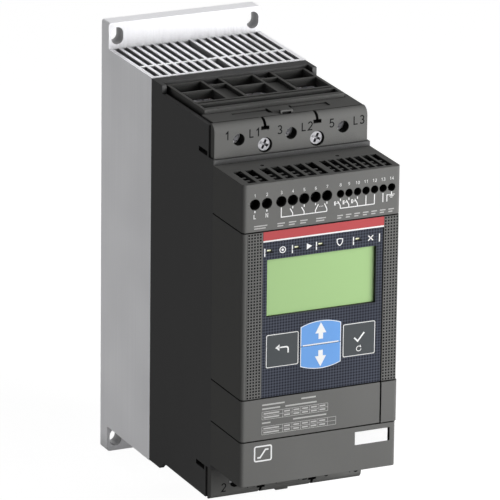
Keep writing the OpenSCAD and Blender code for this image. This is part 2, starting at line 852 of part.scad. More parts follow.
module semiconductor_1() { color([0.16, 0.16, 0.17]) semiconductor(-1); }
module semiconductor_3() { color([0.16, 0.16, 0.17]) semiconductor(1); }

module semiconductor_screws() {
    color(zinc) outer_phases() for (z = [-1, 1])
        cross_screw(module_screw_r, module_screw_r + 1.6, 3, module_y + base_t - 1.2,
                    module_y - module_base_t, 0, z * module_screw_z);
}

module busbar_screws() {
    color(zinc) outer_phases() for (z = [-1, 1])
        cross_screw(busbar_screw_r, busbar_screw_r + 1.5, 2.6, module_y1 + 8, module_y1 - busbar_t,
                    0, z * post_z);
}

module current_transformers() {
    color([0.12, 0.13, 0.30]) outer_phases() difference() {
        span([-transformer_hw, busbar_y - transformer_reach, -front_z],
             [transformer_hw, busbar_y1 + transformer_reach, transformer_h - front_z]);
        span([-busbar_w / 2 - gap, busbar_y - gap, -front_z - past],
             [busbar_w / 2 + gap, busbar_y1 + gap, transformer_h - front_z + past]);
    }
}

module power_board() {
    board_hh = standoff_z + 4.4;
    color(board_green) difference() {
        span([3 - bay_hw, board_y - board_t, -board_hh], [bay_hw - 3, board_y, board_hh]);
        for (x = [-1, 1], z = [-1, 1])
            bar_y(board_screw_r + gap, board_y + past, board_y - board_t - past,
                  x * barrier_x, z * standoff_z);
    }
}

module power_board_screws() {
    color(zinc) for (x = [-1, 1], z = [-1, 1])
        cross_screw(board_screw_r, board_screw_r + 1.3, 1.8, board_y + board_screw_l, board_y - board_t,
                    x * barrier_x, z * standoff_z);
}

module bypass_relays() {
    relay_w = 22;
    relay_h = 32;
    color([0.10, 0.10, 0.11]) for (x = [-1, 1])
        facing(board_y - board_t, relay_d)
            translate([x * (phase_pitch - 6), 24]) round_rect(relay_w, relay_h, 1);
}

// Front covers: a channel open to the rear, with round front edges
module cover_profile() {
    translate([-hw, front_y + corner_r]) square([2 * hw, front_d - corner_r]);
    translate([corner_r - hw, front_y]) square([2 * (hw - corner_r), corner_r + past]);
    for (s = [-1, 1]) translate([s * (hw - corner_r), front_y + corner_r]) circle(corner_r);
}

module cover_channel(z0, z1) {
    translate([0, 0, z0]) linear_extrude(z1 - z0) difference() {
        cover_profile();
        translate([-cover_hw, wall_y]) square([2 * cover_hw, front_d]);
    }
}

// One wire slot in the top of the control cover, with two rungs from its left side
module wire_slot(x, w) {
    rung_y = wire_y0 - wire_slot_d;
    difference() {
        span([x - w / 2, slot_y1, front_z - cover_t - past], [x + w / 2, wire_y0, front_z + past]);
        for (i = [0, 1])
            span([x - w, rung_y - i * rung_pitch - rung_d, front_z - cover_t - 2 * past],
                 [x + (rung_reach - 0.5) * w, rung_y - i * rung_pitch, front_z - rung_set]);
    }
}

module control_cover() {
    pin_x = 21.6;
    pin_r = 1.1;
    color(mid_grey) difference() {
        union() {
            cover_channel(display_z1, front_z);
            translate([0, 0, front_z - cover_t]) linear_extrude(cover_t) cover_profile();
        }
        for (x = large_xs) {
            wire_slot(x, large_slot_w);
            bar_y(large_hole_d / 2, wall_y + past, front_y - past, x, terminal_z);
        }
        for (x = signal_xs) {
            wire_slot(x, small_slot_w);
            bar_y(small_hole_d / 2, wall_y + past, front_y - past, x, terminal_z);
        }
        for (x = [-1, 1])
            translate([x * pin_x, wire_y0 + 4.6, front_z - cover_t - past])
                cylinder(r = pin_r, h = cover_t + 2 * past);
        span([large_xs[0] - large_hw, wall_y, front_z - cover_t - past],
             [signal_xs[6] + small_hw, wire_y0 + past, front_z - slot_wall_t]);
    }
}

// Terminal block: wires from above, screws from the front
module terminal_block(xs, slot, hole) {
    side = slot / 2 + block_margin;
    wire_z = terminal_z - hole / 2 - 3.4;
    color([0.13, 0.13, 0.13]) difference() {
        span([xs[0] - side, block_y1, block_z0], [xs[len(xs) - 1] + side, block_y0, block_z1]);
        for (x = xs) {
            span([x - slot / 2, wire_y0 - wire_slot_d, wire_z], [x + slot / 2, wire_y0, block_z1 + past]);
            bar_y(hole / 2, wire_y0 - wire_slot_d + past, block_y1 - past, x, terminal_z);
        }
    }
}

module supply_terminals() { terminal_block(supply_xs, large_slot_w, large_hole_d - 0.2); }
module relay_terminals() { terminal_block(relay_xs, large_slot_w, large_hole_d - 0.2); }
module signal_terminals() { terminal_block(signal_xs, small_slot_w, small_hole_d - 0.2); }

module slotted_screws(xs, r) {
    rear = wire_y0 - wire_slot_d;
    front = rear - 6.5;
    color(zinc) for (x = xs) difference() {
        bar_y(r, rear, front, x, terminal_z);
        translate([x, front, terminal_z]) rotate([0, 30, 0]) cube([4 * r, 2, 0.7], center = true);
    }
}

module large_terminal_screws() { slotted_screws(large_xs, large_hole_d / 2 - 0.1 - fit); }
module small_terminal_screws() { slotted_screws(signal_xs, small_hole_d / 2 - 0.1 - fit); }

module control_posts() {
    for (x = [-1, 1], z = [control_post_z0, control_post_z1])
        translate([x * control_post_x, 0, z]) children();
}

module control_board() {
    board_hw = cover_hw - 0.6;
    color(board_green) difference() {
        span([-board_hw, control_board_y - board_t, display_z0 + 3], [board_hw, control_board_y, block_z1]);
        control_posts()
            bar_y(board_screw_r + gap, control_board_y + past, control_board_y - board_t - past, 0, 0);
    }
}

// Screw that enters a board from behind, its head on the rear face
module rear_screws(head_y, front) {
    bar_y(board_screw_r, head_y, front, 0, 0);
    bar_y(board_screw_r + 1.3, head_y + 1.8, head_y, 0, 0);
}

module control_board_screws() {
    color(zinc) control_posts() rear_screws(control_board_y, control_board_y - board_t - board_screw_l);
}

// Display housing with the openings for the glass, the lights and the keys
module display_posts() {
    for (x = [-1, 1], z = [display_post_z0, display_post_z1])
        translate([panel_x + x * display_post_x, 0, z]) children();
}

module arrow_outline(grow) {
    bow_r = (pow(arrow_w / 2, 2) + pow(arrow_bulge, 2)) / (2 * arrow_bulge);
    intersection() {
        square([arrow_w + 2 * grow, 2 * (arrow_hh + arrow_bulge + grow)], center = true);
        intersection_for(m = [0, 1])
            mirror([0, m])
                translate([0, arrow_hh + arrow_bulge - bow_r]) circle(bow_r + grow, $fn = 96);
    }
}

module key_openings() {
    for (x = [-key_x, key_x])
        translate([panel_x + x, key_z])
            square([key_w + 2 * key_gap, 2 * (key_hh + key_gap)], center = true);
    translate([panel_x, key_z]) arrow_outline(key_gap);
}

module panel_openings() {
    translate([panel_x, (glass_z0 + glass_z1) / 2])
        square([glass_w + 2 * key_gap, glass_z1 - glass_z0 + 2 * key_gap], center = true);
    for (x = light_xs)
        translate([x, light_z]) square([light_size[0] + 0.1, light_size[1] + 0.1], center = true);
    key_openings();
}

module display_housing() {
    color(mid_grey) difference() {
        union() {
            cover_channel(display_z0 + seam / 2, display_z1 - seam);
            display_posts() bar_y(post_r, display_board_y, wall_y - past, 0, 0);
            control_posts() bar_y(post_r, control_board_y - board_t, wall_y - past, 0, 0);
        }
        facing(wall_y + past, front_t + 2 * past) panel_openings();
        span([overlay_x - overlay_hw - 0.15, front_y - past, display_z0 - past],
             [overlay_x + overlay_hw + 0.15, front_y + overlay_t, display_z1 + past]);
        display_posts() bar_y(board_screw_r + fit, display_board_y + past, display_board_y - 6.5, 0, 0);
        control_posts() bar_y(board_screw_r + fit, control_board_y,
                              control_board_y - board_t - board_screw_l - past, 0, 0);
    }
}

module display_overlay() {
    color([0.20, 0.22, 0.30]) difference() {
        span([overlay_x - overlay_hw, front_y, display_z0 + seam / 2],
             [overlay_x + overlay_hw, front_y + overlay_t, overlay_z1]);
        facing(front_y + overlay_t + past, overlay_t + 2 * past) panel_openings();
    }
}

module display_glass() {
    color([0.66, 0.81, 0.56]) translate([panel_x, 0, 0]) {
        span([-glass_w / 2, front_y + glass_set, glass_z0], [glass_w / 2, wall_y + past, glass_z1]);
        span([-glass_w / 2 - glass_rim, wall_y, glass_z0 - glass_rim],
             [glass_w / 2 + glass_rim, display_board_y, glass_z1 + glass_rim]);
    }
}

module display_board() {
    color(board_green) difference() {
        span([panel_x - display_board_hw, display_board_y, display_z0 + 3],
             [panel_x + display_board_hw, display_board_y + board_t, display_z1 - 3]);
        display_posts()
            bar_y(board_screw_r + gap, display_board_y + board_t + past, display_board_y - past, 0, 0);
    }
}

module display_board_screws() {
    color(zinc) display_posts() rear_screws(display_board_y + board_t, display_board_y - 6);
}

module light_pipes() {
    color([0.85, 0.88, 0.50]) for (x = light_xs)
        span([x - light_size[0] / 2, front_y + light_set, light_z - light_size[1] / 2],
             [x + light_size[0] / 2, display_board_y, light_z + light_size[1] / 2]);
}

key_places = [
    [panel_x - key_x, key_z], [panel_x, key_z + arrow_hh / 2],
    [panel_x, key_z - arrow_hh / 2], [panel_x + key_x, key_z]
];

module key_switches() {
    color([0.10, 0.10, 0.10]) for (p = key_places) {
        span([p[0] - 3, display_board_y - switch_d, p[1] - 3], [p[0] + 3, display_board_y, p[1] + 3]);
        bar_y(1.7, display_board_y - switch_d + 0.5, display_board_y - switch_d - plunger_d, p[0], p[1]);
    }
}

// Key: cap in the panel, lugs behind the wall, stem towards its switch
module key(place, lug_z) {
    stem_y = display_board_y - switch_d - plunger_d - key_travel - key_gap;
    facing(wall_y, front_t) children();
    facing(wall_y + key_flange, key_flange) {
        children();
        for (z = lug_z) translate([place[0] - 5, z]) square([10, 2.4]);
    }
    bar_y(1.6, stem_y, wall_y + key_flange - 0.2, place[0], place[1]);
}

module side_key(side) {
    color([0.33, 0.34, 0.35])
        key(key_places[side < 0 ? 0 : 3], [key_z + key_hh - 1, key_z - key_hh - 1.4])
            translate([panel_x + side * key_x, key_z]) square([key_w, 2 * key_hh], center = true);
}

module arrow_key(side) {
    reach = arrow_hh + arrow_bulge;
    lug = side > 0 ? key_z + reach - 1 : key_z - reach - 1.4;
    split_z = side > 0 ? key_split / 2 : -key_split / 2 - arrow_w;
    color([0.44, 0.64, 0.93])
        key(key_places[side > 0 ? 1 : 2], [lug])
            translate([panel_x, key_z]) intersection() {
                arrow_outline(0);
                translate([-arrow_w, split_z]) square([2 * arrow_w, arrow_w]);
            }
}

module exit_key() { side_key(-1); }
module select_key() { side_key(1); }
module up_key() { arrow_key(1); }
module down_key() { arrow_key(-1); }

// Lower covers
module rating_cover() {
    color(mid_grey) intersection() {
        cover_channel(rating_z0 + seam / 2, display_z0 - seam / 2);
        span([-hw, front_y, rating_z0], [port_x - seam, shelf_y, display_z0]);
    }
}

module port_cover() {
    color(mid_grey) intersection() {
        translate([port_proud, 0, rating_z0 + seam / 2])
            linear_extrude(display_z0 - rating_z0 - seam) difference() {
                union() {
                    cover_profile();
                    translate([0, -port_proud]) cover_profile();
                }
                translate([-cover_hw, wall_y]) square([2 * cover_hw, front_d]);
            }
        span([port_x, front_y - past, rating_z0], [hw + past, shelf_y, display_z0]);
    }
}

module bottom_cover() {
    color(mid_grey) difference() {
        union() {
            cover_channel(-front_z, rating_z0 - seam / 2);
            translate([0, 0, -front_z]) linear_extrude(cover_t) cover_profile();
        }
        span([marker_x - 0.1, front_y - past, marker_z0 - 0.1],
             [marker_x + marker_w + 0.1, front_y + marker_t, marker_z1 + 0.1]);
        span([marker_x + marker_w, front_y - past, marker_z0 - 0.1],
             [marker_x + marker_w + pick_w, front_y + pick_t, marker_z1 + 0.1]);
    }
}

module marker_label() {
    color([0.95, 0.95, 0.95])
        span([marker_x, front_y, marker_z0], [marker_x + marker_w, front_y + marker_t, marker_z1]);
}

heat_sink();
fan_frame();
fan_rotor();
fan_screws();
main_housing();
housing_screws();
line_shroud();
load_shroud();
line_window_frame();
load_window_frame();
line_shroud_screws();
load_shroud_screws();
clamp(-1, line);  // line_clamp_1
clamp(0, line);  // line_clamp_2
clamp(1, line);  // line_clamp_3
clamp(-1, load);  // load_clamp_1
clamp(0, load);  // load_clamp_2
clamp(1, load);  // load_clamp_3
clamp_screw(-1, line);  // line_clamp_screw_1
clamp_screw(0, line);  // line_clamp_screw_2
clamp_screw(1, line);  // line_clamp_screw_3
clamp_screw(-1, load);  // load_clamp_screw_1
clamp_screw(0, load);  // load_clamp_screw_2
clamp_screw(1, load);  // load_clamp_screw_3
line_busbars();
load_busbars();
middle_busbar();
semiconductor_1();
semiconductor_3();
semiconductor_screws();
busbar_screws();
current_transformers();
power_board();
power_board_screws();
bypass_relays();
control_cover();
supply_terminals();
relay_terminals();
signal_terminals();
large_terminal_screws();
small_terminal_screws();
control_board();
control_board_screws();
display_housing();
display_overlay();
display_glass();
display_board();
display_board_screws();
light_pipes();
key_switches();
exit_key();
up_key();
down_key();
select_key();
rating_cover();
port_cover();
bottom_cover();
marker_label();
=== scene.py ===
"""Looks of the soft starter: materials, printed marks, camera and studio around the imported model."""

import json
from math import cos, pi, radians, sin, sqrt

import bmesh
import bpy
from mathutils import Matrix, Vector


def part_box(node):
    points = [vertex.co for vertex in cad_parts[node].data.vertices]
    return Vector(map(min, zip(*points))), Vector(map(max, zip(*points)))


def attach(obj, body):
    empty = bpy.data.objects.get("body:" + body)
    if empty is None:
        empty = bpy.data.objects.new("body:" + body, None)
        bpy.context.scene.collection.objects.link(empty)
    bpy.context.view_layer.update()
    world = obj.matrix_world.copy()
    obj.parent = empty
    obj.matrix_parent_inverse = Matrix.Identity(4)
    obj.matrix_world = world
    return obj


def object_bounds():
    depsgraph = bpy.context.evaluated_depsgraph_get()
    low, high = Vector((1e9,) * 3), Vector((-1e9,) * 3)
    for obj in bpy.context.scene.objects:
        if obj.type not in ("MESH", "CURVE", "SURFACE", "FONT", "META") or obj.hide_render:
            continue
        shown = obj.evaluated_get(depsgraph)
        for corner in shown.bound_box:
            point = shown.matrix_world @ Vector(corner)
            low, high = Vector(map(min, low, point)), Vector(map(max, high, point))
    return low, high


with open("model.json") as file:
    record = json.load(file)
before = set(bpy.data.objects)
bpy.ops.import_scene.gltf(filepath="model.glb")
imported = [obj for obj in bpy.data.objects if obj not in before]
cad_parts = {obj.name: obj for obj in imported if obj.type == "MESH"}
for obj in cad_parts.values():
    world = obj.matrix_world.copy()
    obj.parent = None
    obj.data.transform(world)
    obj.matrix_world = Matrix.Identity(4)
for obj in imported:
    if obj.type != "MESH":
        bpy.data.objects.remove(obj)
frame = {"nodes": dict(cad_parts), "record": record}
cad_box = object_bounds()

# Metres in a millimetre; shapes and places are in millimetres, apart from the studio
MM = 0.001
# Body of all that doesn't move
UNIT = "unit"

# Thickness of printed ink
INK = 0.03
# Distance that ink stands off the face it lies on
LIFT = 0.01


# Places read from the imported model

def box_mm(node):
    lo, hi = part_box(node)
    return lo / MM, hi / MM


def middle_z(node):
    lo, hi = box_mm(node)
    return (lo.z + hi.z) / 2


def spread_mm(node, spacing=0.5):
    """Middles along X of the separate pieces of a node."""
    xs = sorted(vertex.co.x / MM for vertex in frame["nodes"][node].data.vertices)
    groups = [[xs[0]]]
    for x in xs[1:]:
        if x - groups[-1][-1] > spacing:
            groups.append([])
        groups[-1].append(x)
    return [(group[0] + group[-1]) / 2 for group in groups]


OVERLAY_LO, OVERLAY_HI = box_mm("display_overlay")
GLASS_LO, GLASS_HI = box_mm("display_glass")
LIGHT_LO, LIGHT_HI = box_mm("light_pipes")
LIGHT_Z = middle_z("light_pipes")
FRONT_Y = OVERLAY_LO.y
SHROUD_Y = box_mm("line_shroud")[0].y
PHASE_PITCH = box_mm("line_clamp_2")[0].x - box_mm("line_clamp_1")[0].x
CLAMP_Z = middle_z("line_clamp_screw_1")
TERMINAL_XS = spread_mm("large_terminal_screws") + spread_mm("small_terminal_screws")
TERMINAL_Z = middle_z("large_terminal_screws")


# Shader nodes

# Places of the colour sockets on a mix node
MIX_A, MIX_B, MIX_RESULT = 6, 7, 2


class Shader:
    """A material with a principled shader, and short ways to add nodes in front of it."""

    def __init__(self, name, roughness=0.5, metallic=0.0, specular=0.5, coat=0.0):
        self.material = bpy.data.materials.new(name)
        self.material.use_nodes = True
        self.nodes = self.material.node_tree.nodes
        self.links = self.material.node_tree.links
        self.surface = self.nodes["Principled BSDF"]
        self.surface.inputs["Roughness"].default_value = roughness
        self.surface.inputs["Metallic"].default_value = metallic
        self.surface.inputs["Specular IOR Level"].default_value = specular
        self.surface.inputs["Coat Weight"].default_value = coat
        self.place = self.add("ShaderNodeTexCoord").outputs["Object"]

    def add(self, kind, **settings):
        node = self.nodes.new(kind)
        for key, value in settings.items():
            setattr(node, key, value)
        return node

    def join(self, source, node, socket):
        self.links.new(source, node.inputs[socket])

    def stretched(self, scale):
        node = self.add("ShaderNodeMapping")
        node.inputs["Scale"].default_value = scale
        self.join(self.place, node, "Vector")
        return node.outputs["Vector"]

    def noise(self, scale, detail=2.0, vector=None):
        node = self.add("ShaderNodeTexNoise")
        node.inputs["Scale"].default_value = scale
        node.inputs["Detail"].default_value = detail
        self.join(vector or self.place, node, "Vector")
        return node.outputs["Fac"]

    def span(self, value, low, high, start=0.3, end=0.7):
        """Value stretched from start..end to low..high."""
        node = self.add("ShaderNodeMapRange")
        for socket, number in (("From Min", start), ("From Max", end), ("To Min", low), ("To Max", high)):
            node.inputs[socket].default_value = number
        self.join(value, node, "Value")
        return node.outputs["Result"]

    def math(self, operation, a, b=None):
        node = self.add("ShaderNodeMath", operation=operation)
        for socket, value in enumerate((a, b)):
            if isinstance(value, (int, float)):
                node.inputs[socket].default_value = value
            elif value is not None:
                self.join(value, node, socket)
        return node.outputs["Value"]

    def axis(self, name, vector=None):
        node = self.add("ShaderNodeSeparateXYZ")
        self.join(vector or self.place, node, "Vector")
        return node.outputs[name]

    def waves(self, pitch):
        """Cosine waves along X and Z, pitch in millimetres."""
        turns = 2 * pi / (pitch * MM)
        return [self.math("COSINE", self.math("MULTIPLY", self.axis(name), turns)) for name in ("X", "Z")]

    def mix(self, factor, a, b):
        """Colour between a and b; each is a colour or the output of another node."""
        node = self.add("ShaderNodeMix", data_type="RGBA")
        self.join(factor, node, "Factor")
        for socket, value in ((MIX_A, a), (MIX_B, b)):
            if isinstance(value, tuple):
                node.inputs[socket].default_value = (*value, 1.0)
            else:
                self.join(value, node, socket)
        return node.outputs[MIX_RESULT]

    def edge(self, radius):
        """Normal that rounds the sharp edges, radius in millimetres."""
        node = self.add("ShaderNodeBevel", samples=4)
        node.inputs["Radius"].default_value = radius * MM
        return node.outputs["Normal"]

    def shelter(self, reach, start=0.1, end=0.7):
        """Mask for painted shade: 0 deep in a corner or a slot, 1 in the open, within the reach in
        millimetres.
        """
        node = self.add("ShaderNodeAmbientOcclusion", samples=8)
        node.inputs["Distance"].default_value = reach * MM
        return self.span(node.outputs["AO"], 0, 1, start, end)

    def bump(self, height, depth, normal=None):
        """Relief of the given depth in millimetres."""
        node = self.add("ShaderNodeBump")
        node.inputs["Strength"].default_value = 1.0
        node.inputs["Distance"].default_value = depth * MM
        self.join(height, node, "Height")
        if normal:
            self.join(normal, node, "Normal")
        return node.outputs["Normal"]

    def finish(self, colour=None, roughness=None, normal=None):
        for value, socket in ((colour, "Base Color"), (roughness, "Roughness"), (normal, "Normal")):
            if value is not None:
                self.join(value, self.surface, socket)
        return self.material


# Materials

# Share of the colour left deep in a hollow by painted shade, in general and on bare or plated metal
PAINTED_HOLLOW_SHADE = 0.16
METAL_PAINTED_SHADE = 0.08


def shade(colour, factor):
    return tuple(min(1.0, part * factor) for part in colour)


def moulded(name, colour, rough=0.68, specular=0.02, edge=0.35, grain=2400, depth=0.02):
    """Moulded plastic: fine grain, soft flow marks in colour and gloss, rounded edges, painted shade in
    hollows.
    """
    rough_spread = 0.06
    look = Shader(name, specular=specular)
    flow = look.noise(22, detail=3, vector=look.stretched((1, 1, 0.45)))
    speck = look.noise(grain * 0.6, detail=1)
    tone = look.mix(look.span(flow, 0, 1), shade(colour, 0.95), shade(colour, 1.05))
    tone = look.mix(look.span(speck, 0, 0.12, start=0.62, end=0.8), tone, shade(colour, 1.5))
    # Painted shade: the colour darkens deep in hollows, slots and corners
    wide_shade_mask = look.shelter(24, start=0.4, end=0.68)
    narrow_shade_mask = look.shelter(6, start=0.3, end=0.7)
    tone = look.mix(look.math("MULTIPLY", wide_shade_mask, narrow_shade_mask), shade(colour, PAINTED_HOLLOW_SHADE), tone)
    dull = look.span(flow, rough - rough_spread, rough + rough_spread)
    return look.finish(tone, dull, look.bump(look.noise(grain, detail=2), depth, look.edge(edge)))


def extruded(name, colour):
    """Extruded aluminium: die lines along the height, painted shade deep between the fins, and a painted
    sheen of more metal reflection on the faces that look up or down.
    """
    line_share, grain_share = 0.7, 0.3
    # Metal share on the sides, and on the faces that look up or down, where the higher share is a painted
    # sheen
    drawn_metallic, sheen_metallic = 0.22, 0.62
    look = Shader(name)
    lines = look.noise(1.0, detail=4, vector=look.stretched((1400, 1400, 5)))
    cloud = look.noise(30, detail=3)
    grain = look.noise(3200, detail=1)
    tone = look.mix(look.span(lines, 0, 1), shade(colour, 0.95), shade(colour, 1.03))
    tone = look.mix(look.span(cloud, 0, 0.5), tone, shade(colour, 0.96))
    # Painted shade deep between the fins and in other hollows
    tone = look.mix(look.shelter(16, start=0.2, end=0.85), shade(colour, PAINTED_HOLLOW_SHADE), tone)
    # Painted sheen: faces that look up or down reflect more, so their tops look brighter
    facing = look.axis("Z", look.add("ShaderNodeTexCoord").outputs["Normal"])
    cut = look.span(look.math("ABSOLUTE", facing), 0, 1, start=0.9, end=0.98)
    look.join(look.span(cut, drawn_metallic, sheen_metallic, start=0, end=1), look.surface, "Metallic")
    height = look.math("ADD", look.math("MULTIPLY", lines, line_share),
                       look.math("MULTIPLY", grain, grain_share))
    dull = look.span(cloud, 0.36, 0.5)
    return look.finish(tone, dull, look.bump(height, depth=0.014, normal=look.edge(0.3)))


def metal(name, colour, rough=0.3, brush=(900, 900, 900), edge=0.15, reach=2.5):
    """Bare or plated metal with fine brushing, dull patches and painted shade in hollows."""
    look = Shader(name, metallic=1.0)
    brushed = look.noise(1.0, detail=3, vector=look.stretched(brush))
    cloud = look.noise(260, detail=3)
    tone = look.mix(look.span(cloud, 0, 1), shade(colour, 0.86), shade(colour, 1.08))
    # Painted shade in hollows, within the reach
    tone = look.mix(look.shelter(reach), shade(colour, METAL_PAINTED_SHADE), tone)
    patches = look.math("MULTIPLY", brushed, cloud)
    dull = look.span(patches, rough - 0.08, rough + 0.14, start=0.12, end=0.4)
    return look.finish(tone, dull, look.bump(brushed, depth=0.012, normal=look.edge(edge)))


def circuit_board(name, colour):
    """Green solder mask with copper tracks under it and tinned pads."""
    tin, pad_reach = (0.62, 0.60, 0.55), 0.16
    look = Shader(name, roughness=0.35, coat=0.3)
    track = look.add("ShaderNodeTexBrick")
    track.inputs["Scale"].default_value = 110
    track.inputs["Mortar Size"].default_value = 0.05
    upright = look.add("ShaderNodeMapping")
    upright.inputs["Rotation"].default_value = (pi / 2, 0, 0)
    look.join(look.place, upright, "Vector")
    look.join(upright.outputs["Vector"], track, "Vector")
    tone = look.mix(track.outputs["Fac"], colour, shade(colour, 1.7))
    spots = look.add("ShaderNodeTexVoronoi")
    spots.inputs["Scale"].default_value = 240
    look.join(look.place, spots, "Vector")
    pad = look.math("LESS_THAN", spots.outputs["Distance"], pad_reach)
    tone = look.mix(pad, tone, tin)
    return look.finish(tone, normal=look.bump(track.outputs["Fac"], depth=0.03))


def dotted_film(name, colour, dot, pitch):
    """Printed film with a fine grid of dots, pitch in millimetres."""
    look = Shader(name, specular=0.05)
    waves = look.math("MULTIPLY", look.math("ADD", *look.waves(pitch)), 0.5)
    grid = look.span(waves, 0, 1, start=-0.8, end=0.7)
    cloud = look.noise(40, detail=2)
    tone = look.mix(grid, colour, dot)
    tone = look.mix(look.span(cloud, 0, 0.25), tone, shade(colour, 1.25))
    dull = look.span(cloud, 0.42, 0.52)
    return look.finish(tone, dull, look.bump(grid, depth=0.01, normal=look.edge(0.1)))


def liquid_crystal(name, colour):
    """Display glass: even tint, faint pixel grid, a little darker towards its rim."""
    pixel, pixel_share, rim_share = 0.48, 0.015, 0.15
    look = Shader(name, specular=0.4, coat=0.25)
    look.surface.inputs["Coat Roughness"].default_value = 0.08
    middle = (GLASS_LO + GLASS_HI) / 2 * MM
    half = (GLASS_HI - GLASS_LO) / 2 * MM
    reach = []
    for letter, centre, size in (("X", middle.x, half.x), ("Z", middle.z, half.z)):
        off = look.math("ABSOLUTE", look.math("SUBTRACT", look.axis(letter), centre))
        reach.append(look.math("DIVIDE", off, size))
    rim = look.span(look.math("MAXIMUM", *reach), 0, 1, start=0.86, end=1.0)
    grid = look.span(look.math("MAXIMUM", *look.waves(pixel)), 0, pixel_share, start=0.7, end=1.0)
    tone = look.mix(grid, colour, shade(colour, 0.6))
    tone = look.mix(look.math("MULTIPLY", rim, rim_share), tone, shade(colour, 0.72))
    return look.finish(tone, look.span(look.noise(2600), 0.275, 0.285))


def ink(name, colour, rough=0.5, specular=0.3):
    """Screen-printed ink with slightly uneven cover."""
    rough_spread = 0.08
    look = Shader(name, specular=specular)
    cover = look.noise(3000, detail=2)
    tone = look.mix(look.span(cover, 0, 1), shade(colour, 0.96), shade(colour, 1.03))
    dull = look.span(cover, rough - rough_spread, rough + rough_spread)
    return look.finish(tone, dull, look.bump(cover, depth=0.004))


def lamp_plastic(name, colour):
    """Tinted light pipe with painted light: it glows, and it is brighter in the middle of its height and
    darker towards its top and foot as painted shade.
    """
    half = (LIGHT_HI.z - LIGHT_LO.z) / 2 * MM
    look = Shader(name, roughness=0.25, coat=0.4)
    off = look.math("ABSOLUTE", look.math("SUBTRACT", look.axis("Z"), LIGHT_Z * MM))
    # Painted light and shade: brighter in the middle of the height, darker towards its top and foot
    glow = look.span(off, 1, 0, start=0.0, end=half)
    tone = look.mix(glow, shade(colour, 0.75), shade(colour, 1.3))
    # Painted glow: the pipe gives off light although no lamp is behind it
    look.join(tone, look.surface, "Emission Color")
    look.surface.inputs["Emission Strength"].default_value = 0.6
    return look.finish(tone, look.span(look.noise(500), 0.2, 0.32), look.edge(0.1))


DARK = (0.152, 0.152, 0.152)
GREY = (0.168, 0.168, 0.163)
WHITE = (0.92, 0.92, 0.92)

LOOKS = {
    "sink": extruded("extruded_aluminium", (0.92, 0.92, 0.945)),
    "dark_plastic": moulded("dark_plastic", DARK),
    "grey_plastic": moulded("grey_plastic", GREY),
    "zinc": metal("zinc_plate", (0.46, 0.46, 0.48), rough=0.36),
    # Lit and shaded copies of the zinc: brighter, with little hollow shade, on the clamps and clamp
    # screws as painted glints; darker, with a long reach, on the sunk terminal screws as painted shade
    "clamp": metal("zinc_painted_glint", (0.64, 0.64, 0.66), reach=0.8),
    "clamp_screw": metal("screw_painted_glint", (0.82, 0.82, 0.84), rough=0.5, reach=0.3),
    "sunk_screw": metal("zinc_painted_shade", (0.24, 0.24, 0.25), rough=0.4, reach=8),
    "copper": metal("bare_copper", (0.78, 0.44, 0.27), rough=0.34, brush=(700, 700, 60)),
    "black_plastic": moulded("black_plastic", (0.022, 0.022, 0.023), rough=0.5),
    "blue_resin": moulded("cast_resin", (0.03, 0.04, 0.18), rough=0.32, specular=0.5, grain=900),
    "board": circuit_board("solder_mask", (0.02, 0.12, 0.06)),
    "overlay": dotted_film("dotted_film", (0.019, 0.021, 0.029), (0.088, 0.097, 0.127), pitch=1.58),
    "display": liquid_crystal("display_glass", (0.378, 0.583, 0.250)),
    "light": lamp_plastic("light_pipe", (0.96, 0.98, 0.58)),
    "grey_key": moulded("grey_key", (0.091, 0.099, 0.105), grain=1500, edge=0.2),
    "blue_key": moulded("blue_key", (0.180, 0.396, 0.82), grain=1500, edge=0.2),
    "label": ink("label_film", (0.99, 0.99, 0.99), rough=0.6),
}
WHITE_INK = ink("white_ink", WHITE)
PALE_INK = ink("pale_ink", (0.52, 0.52, 0.51))
RED_INK = ink("red_ink", (0.475, 0.070, 0.076), rough=0.6)
# Near-black ink: real print for the terminal marks, and painted shade where it is laid as dark sheets at
# the panel and behind the grille pits
DARK_INK_AND_SHADE = ink("dark_ink_and_shade", (0.012, 0.012, 0.013), rough=0.6, specular=0.02)

# Looks that go by a part of the node's name, before its material slot; the first that fits counts. Clamps
# and clamp screws take zinc with painted glints, and sunk terminal screws take zinc with painted shade
OWN_LOOKS = {"_clamp_screw_": "clamp_screw", "_clamp_": "clamp", "_terminal_screws": "sunk_screw"}


def dress_nodes():
    slots = {row["node"]: row["material_slot"] for row in frame["record"]["subparts"]}
    for name, node in frame["nodes"].items():
        own = [look for part, look in OWN_LOOKS.items() if part in name]
        look = own[0] if own else slots[name]
        for slot in node.material_slots:
            slot.material = LOOKS[look]


# Flat shapes in the front plane, as lists of (x, z) corners

def rectangle(x0, z0, x1, z1):
    return [(x0, z0), (x1, z0), (x1, z1), (x0, z1)]


def moved(points, x, z):
    return [(x + u, z + v) for u, v in points]


def bow(x, z, rx, rz, start, turn, count=9):
    """Part of an ellipse with both its ends, counter-clockwise from the start angle."""
    angles = [radians(start + turn * i / (count - 1)) for i in range(count)]
    return [(x + rx * cos(angle), z + rz * sin(angle)) for angle in angles]


def ring_points(x, z, r, count=28):
    """Whole circle, each point once."""
    return bow(x, z, r, r, 0, 360, count + 1)[:-1]


def soft_corners(x0, z0, x1, z1, r, steps=5):
    """Rectangle with round corners, counter-clockwise."""
    right, left, high, low = x1 - r, x0 + r, z1 - r, z0 + r
    points = []
    for x, z, start in ((right, high, 0), (left, high, 90), (left, low, 180), (right, low, 270)):
        points += bow(x, z, r, r, start, 90, steps)
    return points


